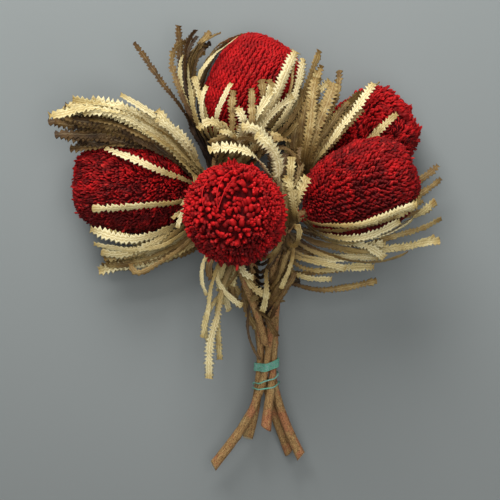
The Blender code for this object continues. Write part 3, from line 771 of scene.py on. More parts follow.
def dried_banksia_leaf(tree, place):
    """Dried leaf: dull and felted, olive brown to bleached straw, with a pale midrib between two grooves, and
    painted shade that darkens it towards its foot.

    The felt is drawn coarser than the real one, at about a millimetre, so that it shows.
    """
    tone, under, across, along = (add(tree, ATTRIBUTE, attribute_name=name)["Fac"]
                                  for name in ("tone", "under", "across", "along"))
    mottle = add(tree, NOISE, {"Vector": place, "Scale": 0.1, "Detail": 5.0, "Roughness": 0.65})["Fac"]
    fine = add(tree, NOISE, {"Vector": place, "Scale": 1.1, "Detail": 3.0})["Fac"]
    blotched = add(tree, MATH, {0: mottle, 1: 0.8, 2: tone}, operation="MULTIPLY_ADD")[0]
    lit = add(tree, MATH, {0: under, 1: 0.14, 2: blotched}, operation="MULTIPLY_ADD")[0]
    age = add(tree, MATH, {0: lit, 1: 0.4}, operation="SUBTRACT", use_clamp=True)[0]
    face = add(tree, RAMP, {"Fac": age}, [(0.0, "#3E2C18"), (0.25, "#70552F"), (0.5, "#A58C58"),
                                          (0.75, "#D4C48E"), (1.0, "#E8DCAE")])["Color"]
    side = add(tree, MATH, {0: across}, operation="ABSOLUTE")[0]
    groove = add(tree, RAMP, {"Fac": side}, [(0.10, "#FFFFFF"), (0.16, "#D4C8B0"), (0.34, "#E6DFD0"),
                                             (0.6, "#FFFFFF"), (1.0, "#FFFFFF")])["Color"]
    grooved = add(tree, MIX, {0: 1.0, 6: face, 7: groove}, **MULTIPLIED)[2]
    rib = add(tree, RAMP, {"Fac": side}, [(0.07, "#545454"), (0.12, "#000000")])["Color"]
    ribbed = add(tree, MIX, {0: rib, 6: grooved, 7: "#F8EEC4"}, data_type="RGBA")[2]
    # Painted shade: each leaf darkens towards its foot, where the leaves crowd in the bundles; the browner tip
    # is the leaf's own colour
    foot = add(tree, RAMP, {"Fac": along}, [(0.0, "#5E4E3A"), (0.22, "#84715A"), (0.46, "#CCBEA2"),
                                            (0.7, "#FFFFFF"), (0.94, "#FFFFFF"), (1.0, "#D6C8A8")])["Color"]
    shaded_at_foot = add(tree, MIX, {0: 1.0, 6: ribbed, 7: foot}, **MULTIPLIED)[2]
    speckle = add(tree, RAMP, {"Fac": fine}, [(0.25, "#D4CAB6"), (0.6, "#FFFFFF")])["Color"]
    speckled = add(tree, MIX, {0: 1.0, 6: shaded_at_foot, 7: speckle}, **MULTIPLIED)[2]
    felt = add(tree, "ShaderNodeBump", {"Height": fine, "Strength": 0.4, "Distance": 0.35 * MM})["Normal"]
    return {"Base Color": speckled, "Roughness": 0.66, "Specular IOR Level": 0.3, "Normal": felt}


def banksia_bark(tree, place):
    """Thin grey-brown bark, streaked along the stem, with patches of red dye and of bare tan wood."""
    around = add(tree, "ShaderNodeUVMap", uv_map="length_and_girth")["UV"]
    stretched = add(tree, "ShaderNodeMapping", {"Vector": around, "Scale": (0.12, 1.3, 1.0)})[0]
    streaks = add(tree, NOISE, {"Vector": stretched, "Scale": 1.0, "Detail": 6.0, "Roughness": 0.7})["Fac"]
    patches = add(tree, NOISE, {"Vector": place, "Scale": 0.06, "Detail": 5.0, "Roughness": 0.7})["Fac"]
    stains = add(tree, NOISE, {"Vector": place, "Scale": 0.05, "Detail": 5.0, "Roughness": 0.75, "W": 3.0},
                 noise_dimensions="4D")["Fac"]
    specks = add(tree, NOISE, {"Vector": place, "Scale": 0.9, "Detail": 2.0})["Fac"]
    brown = add(tree, RAMP, {"Fac": streaks},
                [(0.3, "#543C26"), (0.45, "#906C42"), (0.58, "#AE8C5A"), (0.72, "#D2BA86")])["Color"]
    bare = add(tree, RAMP, {"Fac": patches}, [(0.54, "#000000"), (0.62, "#A0A0A0")])["Color"]
    tan = add(tree, MIX, {0: bare, 6: brown, 7: "#BCA470"}, data_type="RGBA")[2]
    stained = add(tree, RAMP, {"Fac": stains}, [(0.5, "#000000"), (0.57, "#B8B8B8")])["Color"]
    dyed = add(tree, MIX, {0: stained, 6: tan, 7: "#A85A42"}, data_type="RGBA")[2]
    speck = add(tree, RAMP, {"Fac": specks}, [(0.35, "#9C9080"), (0.5, "#FFFFFF")])["Color"]
    spotted = add(tree, MIX, {0: 1.0, 6: dyed, 7: speck}, **MULTIPLIED)[2]
    cracks = add(tree, "ShaderNodeBump", {"Height": streaks, "Strength": 0.8, "Distance": 0.9 * MM})["Normal"]
    return {"Base Color": spotted, "Roughness": 0.82, "Specular IOR Level": 0.25, "Normal": cracks}


def cut_stem_wood(tree, place):
    """Sliced stem: pale dry wood with darker grain, drawn coarser than the real one so that it shows."""
    grain = add(tree, NOISE, {"Vector": place, "Scale": 0.9, "Detail": 4.0})["Fac"]
    return {"Base Color": add(tree, RAMP, {"Fac": grain}, [(0.3, "#A88E62"), (0.7, "#E4D4AC")])["Color"],
            "Roughness": 0.7}


def spun_teal_twine(tree, place):
    """Soft spun twine, teal with grey lilac fibres: matte, and a little paler where it is rubbed.

    The fibres are drawn coarser than real ones, at about half a millimetre, so that they show.
    """
    fibres = add(tree, NOISE, {"Vector": place, "Scale": 1.6, "Detail": 3.0})["Fac"]
    flecks = add(tree, NOISE, {"Vector": place, "Scale": 0.8, "Detail": 2.0})["Fac"]
    teal = add(tree, RAMP, {"Fac": fibres}, [(0.3, "#4C9880"), (0.7, "#74B89C")])["Color"]
    fleck = add(tree, RAMP, {"Fac": flecks}, [(0.5, "#000000"), (0.56, "#B0B0B0")])["Color"]
    colour = add(tree, MIX, {0: fleck, 6: teal, 7: "#A8A0AE"}, data_type="RGBA")[2]
    return {"Base Color": colour, "Roughness": 0.8, "Specular IOR Level": 0.25}


def painted_board(tree, place):
    """Painted board: a pale grey blue, matte, and evenly lit, with painted shade that makes it darker towards
    the cut stems.
    """
    along = add(tree, "ShaderNodeSeparateXYZ", {0: place})["Y"]
    depth = add(tree, "ShaderNodeMapRange",
                {"Value": along, "From Min": -PAINTED_FLOOR_SHADE_SPAN, "From Max": PAINTED_FLOOR_SHADE_SPAN})[0]
    # Painted shade: darker towards the cut stems
    return {"Base Color": add(tree, RAMP, {"Fac": depth}, [(0.0, "#737776"), (1.0, "#828786")])["Color"],
            "Roughness": 0.85}


def geometry_tree(name, sizes):
    """(tree, what its input node gives): a geometry, a material and a named number for each size."""
    tree = bpy.data.node_groups.new(name, "GeometryNodeTree")
    kinds = {"Geometry": "Geometry", "Material": "Material", **{size: "Float" for size in sizes}}
    for socket, kind in kinds.items():
        tree.interface.new_socket(socket, in_out="INPUT", socket_type=f"NodeSocket{kind}")
    tree.interface.new_socket("Geometry", in_out="OUTPUT", socket_type="NodeSocketGeometry")
    return tree, add(tree, "NodeGroupInput")


def finish_tree(tree, made, given):
    """Realises the geometry, keeps it above the table, gives it its material, and closes the tree."""
    real = add(tree, "GeometryNodeRealizeInstances", {"Geometry": made})[0]
    place = add(tree, "ShaderNodeSeparateXYZ", {0: add(tree, "GeometryNodeInputPosition")[0]})
    height = add(tree, MATH, {0: place["Z"], 1: CLEAR_OF_TABLE * MM}, operation="MAXIMUM")[0]
    above = add(tree, "ShaderNodeCombineXYZ", {"X": place["X"], "Y": place["Y"], "Z": height})[0]
    lifted = add(tree, "GeometryNodeSetPosition", {"Geometry": real, "Position": above})[0]
    dressed = add(tree, "GeometryNodeSetMaterial", {"Geometry": lifted, "Material": given["Material"]})[0]
    add(tree, "NodeGroupOutput", {"Geometry": dressed})


def blade_tree():
    """Saw-toothed blades along centre lines: a ridged middle, a slight wave and teeth that lean forward."""
    tree, given = geometry_tree("toothed_blades",
                                ("Tooth Pitch", "Tooth Forward", "Flatness", "Ridge", "Wave"))
    own = {name: add(tree, OWN_VALUE, {"Name": name}, data_type="FLOAT_VECTOR")["Attribute"]
           for name in ("facing", "heading")}
    own.update({name: add(tree, OWN_VALUE, {"Name": name}, data_type="FLOAT")["Attribute"]
                for name in ("half_width", "tooth_depth", "fold", "notch", "across")})

    line = add(tree, "GeometryNodeMeshToCurve", {"Mesh": given["Geometry"]})[0]
    half_pitch = add(tree, MATH, {0: given["Tooth Pitch"], 1: 0.5}, operation="MULTIPLY")[0]
    line = add(tree, "GeometryNodeResampleCurve", {"Curve": line, "Length": half_pitch}, mode="LENGTH")[0]
    line = add(tree, "GeometryNodeSetCurveNormal", {"Curve": line, "Normal": own["facing"]}, mode="FREE")[0]
    spline = add(tree, "GeometryNodeSplineParameter")
    notch = add(tree, MATH, {0: spline["Index"], 1: 2.0}, operation="MODULO")[0]
    heading = add(tree, "GeometryNodeInputTangent")[0]
    for label, value, kind in (("along", spline["Factor"], "FLOAT"), ("notch", notch, "FLOAT"),
                               ("heading", heading, "FLOAT_VECTOR")):
        line = add(tree, KEEP_VALUE, {"Geometry": line, "Name": label, "Value": value}, data_type=kind,
                   domain="POINT")[0]

    # Every second point is a notch, cut in unevenly, and the blade's width is a little ragged
    cut = add(tree, MATH, {0: notch, 1: own["tooth_depth"]}, operation="MULTIPLY")[0]
    uneven = add(tree, "FunctionNodeRandomValue", {2: 0.5, 3: 1.25, "Seed": 3}, data_type="FLOAT")[1]
    ragged = add(tree, MATH, {0: cut, 1: uneven}, operation="MULTIPLY")[0]
    kept = add(tree, MATH, {0: 1.0, 1: ragged}, operation="SUBTRACT")[0]
    broken = add(tree, "FunctionNodeRandomValue", {2: 0.8, 3: 1.1, "Seed": 9}, data_type="FLOAT")[1]
    wide = add(tree, MATH, {0: own["half_width"], 1: broken}, operation="MULTIPLY")[0]
    half = add(tree, MATH, {0: wide, 1: kept}, operation="MULTIPLY")[0]

    # The section is a flattened circle. X is its thickness, with the ridge at the point that faces up
    section = add(tree, "GeometryNodeCurvePrimitiveCircle", {"Resolution": 8, "Radius": 1.0},
                  mode="RADIUS")["Curve"]
    place = add(tree, "ShaderNodeSeparateXYZ", {0: add(tree, "GeometryNodeInputPosition")[0]})
    under = add(tree, MATH, {0: place["X"], 1: -0.01}, operation="LESS_THAN")[0]
    for label, value in (("under", under), ("across", place["Y"])):
        section = add(tree, KEEP_VALUE, {"Geometry": section, "Name": label, "Value": value},
                      data_type="FLOAT", domain="POINT")[0]
    middle = add(tree, MATH, {0: place["X"], 1: 0.99}, operation="GREATER_THAN")[0]
    ridge = add(tree, MATH, {0: middle, 1: given["Ridge"]}, operation="MULTIPLY")[0]
    thick = add(tree, MATH, {0: place["X"], 1: given["Flatness"], 2: ridge}, operation="MULTIPLY_ADD")[0]
    flat = add(tree, "ShaderNodeCombineXYZ", {"X": thick, "Y": place["Y"]})[0]
    section = add(tree, "GeometryNodeSetPosition", {"Geometry": section, "Position": flat})[0]
    blade = add(tree, "GeometryNodeCurveToMesh",
                {"Curve": line, "Profile Curve": section, "Scale": half, "Fill Caps": True})[0]

    # The teeth lean forward, the edges fold up or down, and the whole blade waves
    edge = add(tree, MATH, {0: own["across"], 1: own["across"]}, operation="MULTIPLY")[0]
    tooth = add(tree, MATH, {0: 1.0, 1: own["notch"]}, operation="SUBTRACT")[0]
    reach = add(tree, MATH, {0: tooth, 1: edge}, operation="MULTIPLY")[0]
    forward = add(tree, MATH, {0: reach, 1: given["Tooth Forward"]}, operation="MULTIPLY")[0]
    leaned = add(tree, VECTOR_MATH, {0: own["heading"], "Scale": forward}, operation="SCALE")[0]
    lift = add(tree, MATH, {0: edge, 1: own["fold"]}, operation="MULTIPLY")[0]
    folded = add(tree, VECTOR_MATH, {0: own["facing"], "Scale": lift}, operation="SCALE")[0]
    drift = add(tree, NOISE, {"Scale": 130.0, "Detail": 1.0})["Color"]
    centred = add(tree, VECTOR_MATH, {0: drift, 1: (0.5, 0.5, 0.5)}, operation="SUBTRACT")[0]
    waved = add(tree, VECTOR_MATH, {0: centred, "Scale": given["Wave"]}, operation="SCALE")[0]
    moved = add(tree, VECTOR_MATH, {0: leaned, 1: folded}, operation="ADD")[0]
    moved = add(tree, VECTOR_MATH, {0: moved, 1: waved}, operation="ADD")[0]
    blade = add(tree, "GeometryNodeSetPosition", {"Geometry": blade, "Offset": moved})[0]
    finish_tree(tree, blade, given)
    return tree


def floret_tree():
    """Florets on seats: short club-ended buds that bend over, each with its own length and girth."""
    tree, given = geometry_tree("florets", ("Length", "Thickness", "Bend", "Sides"))
    end = add(tree, "ShaderNodeCombineXYZ", {"X": given["Bend"], "Z": 0.86})[0]
    spine = add(tree, "GeometryNodeCurveQuadraticBezier",
                {"Resolution": 3, "Start": (0, 0, 0), "Middle": (0.0, 0, 0.72), "End": end})[0]
    share = add(tree, "GeometryNodeSplineParameter")["Factor"]
    spine = add(tree, KEEP_VALUE, {"Geometry": spine, "Name": "reach", "Value": share}, data_type="FLOAT",
                domain="POINT")[0]
    rise = add(tree, "ShaderNodeMapRange", {"Value": share, "From Min": 0.0, "From Max": CLUB_SHARE,
                                            "To Min": 0.5, "To Max": 1.0})[0]
    fall = add(tree, "ShaderNodeMapRange", {"Value": share, "From Min": CLUB_SHARE, "From Max": 1.0,
                                            "To Min": 0.0, "To Max": 0.5})[0]
    swell = add(tree, MATH, {0: rise, 1: fall}, operation="SUBTRACT")[0]
    girth = add(tree, MATH, {0: given["Thickness"], 1: given["Length"]}, operation="DIVIDE")[0]
    size = add(tree, MATH, {0: swell, 1: girth}, operation="MULTIPLY")[0]
    section = add(tree, "GeometryNodeCurvePrimitiveCircle", {"Resolution": given["Sides"], "Radius": 1.0},
                  mode="RADIUS")["Curve"]
    bud = add(tree, "GeometryNodeCurveToMesh",
              {"Curve": spine, "Profile Curve": section, "Scale": size, "Fill Caps": True})[0]
    bud = add(tree, "GeometryNodeSetShadeSmooth", {"Geometry": bud, "Shade Smooth": True})[0]
    seats = add(tree, "GeometryNodeMeshToPoints", {"Mesh": given["Geometry"]})[0]
    out, lean = (add(tree, OWN_VALUE, {"Name": name}, data_type="FLOAT_VECTOR")["Attribute"]
                 for name in ("out", "lean"))
    turn = add(tree, "FunctionNodeAxesToRotation", {"Primary Axis": out, "Secondary Axis": lean},
               primary_axis="Z", secondary_axis="X")[0]
    own_length, own_girth = (add(tree, OWN_VALUE, {"Name": name}, data_type="FLOAT")["Attribute"]
                             for name in ("size", "girth"))
    long, stout = (add(tree, MATH, {0: own, 1: given["Length"]}, operation="MULTIPLY")[0]
                   for own in (own_length, own_girth))
    scale = add(tree, "ShaderNodeCombineXYZ", {"X": stout, "Y": stout, "Z": long})[0]
    placed = add(tree, "GeometryNodeInstanceOnPoints",
                 {"Points": seats, "Instance": bud, "Rotation": turn, "Scale": scale})[0]
    finish_tree(tree, placed, given)
    return tree


def strand_tree():
    """Round strands along paths."""
    tree, given = geometry_tree("strands", ("Radius",))
    path = add(tree, "GeometryNodeMeshToCurve", {"Mesh": given["Geometry"]})[0]
    section = add(tree, "GeometryNodeCurvePrimitiveCircle", {"Resolution": 5, "Radius": 1.0},
                  mode="RADIUS")["Curve"]
    girth = add(tree, OWN_VALUE, {"Name": "girth"}, data_type="FLOAT")["Attribute"]
    size = add(tree, MATH, {0: girth, 1: given["Radius"]}, operation="MULTIPLY")[0]
    strands = add(tree, "GeometryNodeCurveToMesh",
                  {"Curve": path, "Profile Curve": section, "Scale": size, "Fill Caps": True})[0]
    strands = add(tree, "GeometryNodeSetShadeSmooth", {"Geometry": strands, "Shade Smooth": True})[0]
    finish_tree(tree, strands, given)
    return tree


def placed_mesh(name, points, edges=(), faces=(), **values):
    """A mesh object from points of the layout, in the part's frame, with a number or vector at each point."""
    mesh = bpy.data.meshes.new(name)
    mesh.from_pydata([(Vector(p) + ORIGIN_SHIFT) * MM for p in points], list(edges), list(faces))
    for label, each in values.items():
        if isinstance(each[0], Vector):
            attribute = mesh.attributes.new(label, "FLOAT_VECTOR", "POINT")
            attribute.data.foreach_set("vector", [c for v in each for c in v])
        else:
            mesh.attributes.new(label, "FLOAT", "POINT").data.foreach_set("value", each)
    obj = bpy.data.objects.new(name, mesh)
    bpy.context.scene.collection.objects.link(obj)
    return obj


def grown(obj, tree, material, sizes):
    """The object with a tree's result in place of its mesh."""
    modifier = obj.modifiers.new("grow", "NODES")
    modifier.node_group = tree
    sockets = {item.name: item.identifier for item in tree.interface.items_tree if item.in_out == "INPUT"}
    modifier[sockets["Material"]] = material
    for name, value in sizes.items():
        modifier[sockets[name]] = value
    bpy.context.view_layer.update()
    graph = bpy.context.evaluated_depsgraph_get()
    result = bpy.data.meshes.new_from_object(obj.evaluated_get(graph))
    obj.modifiers.clear()
    obj.data = result
    return obj


def dress(obj, nodes):
    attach(obj, "root")
    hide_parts(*nodes)


def head_skin(head, share, turn, raised=0.0):
    """A point of a head's skin, its way out and its way towards the tip. share runs from tip to base."""
    axis = unit(head.aim)
    across, up = ring_frame(axis)
    angle = max(0.02, min(math.pi - 0.02, share))
    radius, height = head_profile(head, angle)
    next_radius, next_height = head_profile(head, angle - 0.01)
    spoke = across * math.cos(turn) + up * math.sin(turn)
    lean = (spoke * (next_radius - radius) + axis * (next_height - height)).normalized()
    out = lean.cross(spoke.cross(axis)).normalized()
    if out.dot(spoke + axis * math.cos(angle)) < 0:
        out.negate()
    spot = Vector(head.base) + axis * height + spoke * radius + out * raised
    return spot, out, lean


def head_core(name, head, material):
    """The woody core that the florets stand on, closed at both ends."""
    points = []
    for i in range(CORE_RINGS):
        for k in range(CORE_SIDES):
            angle, turn = math.pi * (i + 0.5) / CORE_RINGS, 2 * math.pi * k / CORE_SIDES
            spot, _, _ = head_skin(head, angle, turn, -CORE_DEPTH)
            points.append(Vector((spot.x, spot.y, max(spot.z, CLEAR_OF_TABLE))))
    # The rings run from the tip back, so each face is turned round to point outwards
    faces = [(face[0], *face[:0:-1]) for face in closed_rings(CORE_RINGS, CORE_SIDES)]
    core = placed_mesh(name, points, faces=faces)
    core.data.materials.append(material)
    for face in core.data.polygons:
        face.use_smooth = True
    return core


# How each head's florets lie: how fine, how untidy, how much stouter at the tip, how far they turn round
#   it, how flat they lie, how far neighbours lean together, how bright they are, and a dark hollow's middle.
# The brightness is partly painted shade: the heads that lie more in shade are made darker.
Bloom = namedtuple("Bloom", "fine untidy tip_stout swirl laid knit tone hollow")
BLOOMS = {
    "left": Bloom(0.86, 1.0, 1.2, 0.0, 0.4, 0.0, 0.1, (-118, 42, 74)),
    "top": Bloom(0.88, 0.25, 1.05, 0.0, 0.75, 0.5, 0.4, None),
    "front": Bloom(1.0, 1.1, 2.0, 1.0, 0.0, 0.0, 0.3, None),
    "right_front": Bloom(1.08, 0.45, 1.3, 0.3, 0.35, 0.6, 0.05, None),
    "right_back": Bloom(1.05, 1.25, 1.5, 0.5, 0.35, 0.0, 0.3, (133, 108, 66)),
}
HOLLOW_RADIUS = 8.0
TIP_ZONE = 0.8
FLORET_SIDES = {"left": 3.0, "top": 3.0, "front": 5.0, "right_front": 3.0, "right_back": 3.0}
FLORET_BEND = {"left": 0.42, "top": 0.62, "front": 0.3, "right_front": 0.5, "right_back": 0.5}


def columns_at(head, radius, spacing):
    """How many florets stand round a head here: fewer, by halves, as it narrows."""
    full = 4 * round(2 * math.pi * head.radius / spacing / 4)
    if radius > 0.52 * head.radius:
        return full
    return full // 2 if radius > 0.24 * head.radius else full // 4


def floret_rings(head, bloom, draw):
    """(angle, florets, stoutness, room, first turn, nearness to the tip) of each ring, from the tip back."""
    since, ring = 0.0, 0
    previous = head_profile(head, 0.001)
    for k in range(SKIN_STEPS):
        angle = math.pi * (k + 0.5) / SKIN_STEPS
        radius, height = head_profile(head, angle)
        since += math.hypot(radius - previous[0], height - previous[1])
        previous = (radius, height)
        tip_share = max(0.0, 1 - angle / TIP_ZONE)
        stout = 1 + (bloom.tip_stout - 1) * min(1.0, tip_share * STOUT_RISE)
        if since < FLORET_ROW_STEP * bloom.fine * stout:
            continue
        since = 0.0
        ring += 1
        spacing = FLORET_SPACING * bloom.fine
        count = max(FEWEST_IN_RING, round(columns_at(head, radius, spacing) / stout))
        room = min(MOST_ROOM, (2 * math.pi * radius / count) / spacing / stout)
        offset = draw.uniform(0, 1) * bloom.untidy * tip_share + 0.5 * (ring % 2)
        yield angle, count, stout, room, offset, tip_share


def floret_seats(name, stem, head, bloom, seed):
    """Where each floret grows: rings along the head, each set half a step on, and a few on the stem below."""
    draw = random.Random(seed)
    seats = []
    for angle, count, stout, room, offset, tip_share in floret_rings(head, bloom, draw):
        for k in range(count):
            aside = draw.uniform(-COLUMN_STRAY, COLUMN_STRAY) * bloom.untidy
            turn = 2 * math.pi * (k + offset + aside) / count
            stray = draw.uniform(-ROW_STRAY, ROW_STRAY) * bloom.untidy * stout
            spot, out, lean = head_skin(head, angle + stray, turn, -FLORET_ROOT_DEPTH)
            side = lean.cross(out)
            clump = noise.noise(spot / CLUMP_WAVE + Vector((seed, 0, 0)))
            drift = noise.noise(spot / DRIFT_WAVE + Vector((0, seed, 40)))
            knit = bloom.knit if k % 2 else -bloom.knit
            sideways = knit + bloom.untidy * (DRIFTING * drift + draw.uniform(-0.8, 0.8))
            sideways += bloom.swirl * 1.5 * tip_share
            long = draw.uniform(*LENGTHS) * (1 + CLUMPING * clump * (0.4 + bloom.untidy))
            if draw.random() < PROUD_SHARE * bloom.untidy:
                long *= draw.uniform(*PROUD_LENGTHS)
            wide = draw.uniform(*GIRTHS) * (0.3 + 0.7 * room) * stout * bloom.fine
            if bloom.hollow and (spot - Vector(bloom.hollow)).length < HOLLOW_RADIUS:
                long *= HOLLOW_LENGTH
            if spot.z < SEAT_HEIGHT:
                continue
            if spot.z + out.z * FLORET_LENGTH < 1.0:
                long *= LENGTH_BY_TABLE
            patchy = clump * min(1.0, 0.3 + bloom.untidy)
            # Painted shade: florets that face the stems are darkened, since that lower rim lies away from the
            # light
            rim_shade = RIM_SHADE_PAINTED * max(0.0, -out.y)
            tilt = (0.15 + 0.35 * draw.random()) * bloom.untidy
            gather = noise.noise_vector(spot / GATHER_WAVE + Vector((seed, 7, 0))) * GATHERING * bloom.untidy
            out = (out + lean * bloom.laid + gather + side * draw.uniform(-1, 1) * tilt).normalized()
            plain = min(BRIGHTEST, max(0.0, draw.random() * 0.5 + bloom.tone + 0.5 * patchy - rim_shade))
            tone = plain if draw.random() > FADED_SHARE else 1.0
            seats.append((spot, out, (lean + side * sideways).normalized(), long * stout**0.35, wide, tone))
    for _ in range(LOW_FLORETS):
        distance = draw.uniform(1, LOW_REACH)
        centre = point_below_head(stem, distance)
        heading = (centre - point_below_head(stem, distance + 2)).normalized()
        across, side = ring_frame(heading)
        turn = draw.uniform(0, 2 * math.pi)
        spoke = across * math.cos(turn) + side * math.sin(turn)
        out = (spoke + heading * draw.uniform(0.3, 1.2)).normalized()
        seats.append((centre + spoke * (STEM_RADIUS_HEAD - 0.8), out, heading,
                      draw.uniform(0.6, 1.1), draw.uniform(0.6, 0.9), draw.uniform(0.2, 0.8)))
    spots, outs, leans, sizes, girths, tones = zip(*seats)
    return placed_mesh(name, spots, out=outs, lean=leans, size=sizes, girth=girths, tone=tones)


def chain(first, steps):
    """The edges of a path, from its first point's number on."""
    return [(first + i, first + i + 1) for i in range(steps)]


def stray_hairs(name, head, seed):
    """Fine dyed fibres that stand out from the florets or lie loose over them."""
    draw = random.Random(seed)
    points, edges, girths = [], [], []
    for _ in range(HAIRS_PER_HEAD):
        angle = math.acos(draw.uniform(-0.75, 0.98))
        spot, out, lean = head_skin(head, angle, draw.uniform(0, 2 * math.pi), 0.5)
        side = lean.cross(out)
        if spot.z < HAIR_LENGTH:
            continue
        path = [spot]
        push = out * draw.uniform(0.5, 1.1) + lean * draw.uniform(-0.2, 1.0) + side * draw.uniform(-0.8, 0.8)
        push.normalize()
        curl = (side * draw.uniform(-1, 1) + lean * draw.uniform(-1, 1) - out * HAIR_DROOP) * HAIR_CURL
        step = HAIR_LENGTH * draw.uniform(*HAIR_LENGTHS) / HAIR_STEPS
        for _ in range(HAIR_STEPS):
            path.append(path[-1] + push * step)
            push = (push + curl).normalized()
        edges += chain(len(points), HAIR_STEPS)
        points += path
        girths += HAIR_GIRTHS
    return placed_mesh(name, points, edges, girth=girths, reach=[1.0] * len(points), tone=[0.8] * len(points))


def top_of_head(body, point):
    """The point of a head's skin straight above or below this one, as seen from above."""
    offset = Vector((point.x - body.middle.x, point.y - body.middle.y, body.reach))
    while offset.z > 0 and depth_in_head(body, offset) > 1:
        offset.z -= 0.5
    return body.middle + offset + Vector((0, 0, 1))


def loose_strands(name):
    """A few long dyed strands that sweep over the front head."""
    points, edges, girths = [], [], []
    for sweep in LOOSE_STRANDS:
        edges += chain(len(points), STRAND_STEPS)
        path = curve([Vector((x, y, 0)) for x, y in sweep], STRAND_STEPS)
        points += [top_of_head(HEAD_BODIES["front"], p) for p in path]
        girths += [math.sin(math.pi * (k + 1) / (STRAND_STEPS + 2)) ** 0.5 for k in range(STRAND_STEPS + 1)]
    return placed_mesh(name, points, edges, girth=girths, reach=[0.9] * len(points), tone=[0.7] * len(points))


def leaf_paths(name, leaves, seed):
    """One line for each leaf, with its facing, half width, tooth depth, fold and tone at every point."""
    draw = random.Random(seed)
    points, edges = [], []
    values = {"facing": [], "half_width": [], "tooth_depth": [], "fold": [], "tone": []}
    for fan_name, leaf_name, line, facing, width, roll in leaves:
        length = sum((q - p).length for p, q in zip(line, line[1:]))
        steps = max(FEWEST_STEPS, round(length / LEAF_STEP))
        kept = max(FEWEST_STEPS, round(len(line) * draw.uniform(BROKEN_FANS.get(fan_name, 1.0), 1.0)))
        path = evenly_spaced(line[:kept], steps + 1)
        tone = FAN_TONES[fan_name] + (0.0 if fan_name in SINGLE_LEAVES else draw.uniform(*TONE_SPREAD))
        wave = draw.uniform(0, 2 * math.pi)
        fold = draw.uniform(*FOLDS)
        depth = TOOTH_DEPTH * (draw.uniform(*TOOTH_DEPTHS) + (TORN if tone > 1.1 else 0.0))
        full_from = draw.uniform(*FULL_WIDTH_FROM)
        width *= SLIMNESS.get(fan_name, 1.0)
        depth *= min(1.0, width / FULL_TEETH_WIDTH)
        sag = SAG.get(leaf_name, SAG.get(fan_name, 0.0))
        edges += chain(len(points), steps)
        for i, (centre, heading) in enumerate(zip(path, tangents(path))):
            share = i / steps
            across = heading.cross(flat_on_heads(centre, facing)).normalized()
            across = Quaternion(heading, roll * share) @ across
            top = across.cross(heading).normalized()
            loose = min(1.0, share * LOOSE_RISE)
            twist = LEAF_TWIST * math.sin(wave + share * TWIST_WAVES) * loose
            stray = noise.noise_vector(centre / WANDER_WAVE + Vector((seed, wave * 3, 0))) * loose * WANDER
            place = centre + top * BLADE_LIFT + across * stray.x + top * max(-0.2, stray.y * 0.7)
            place.y -= sag * math.sin(0.5 * math.pi * share)
            points.append(clear_of_heads(place) if sag else place)
            spread = min(1.0, share / full_from)
            half = 0.5 * (FOOT_WIDTH + (width * TEETH_STAND_OUT - FOOT_WIDTH) * spread) * MM
            values["facing"].append(Quaternion(heading, twist) @ top)
            values["half_width"].append(half * (BLUNT_WIDTH if share > BLUNT_FROM else 1.0))
            values["tooth_depth"].append(depth * min(1.0, 0.25 + share * 2.5))
            values["fold"].append(half * fold)
            values["tone"].append(tone + 0.1 * (share - 0.5))
    return placed_mesh(name, points, edges, **values)


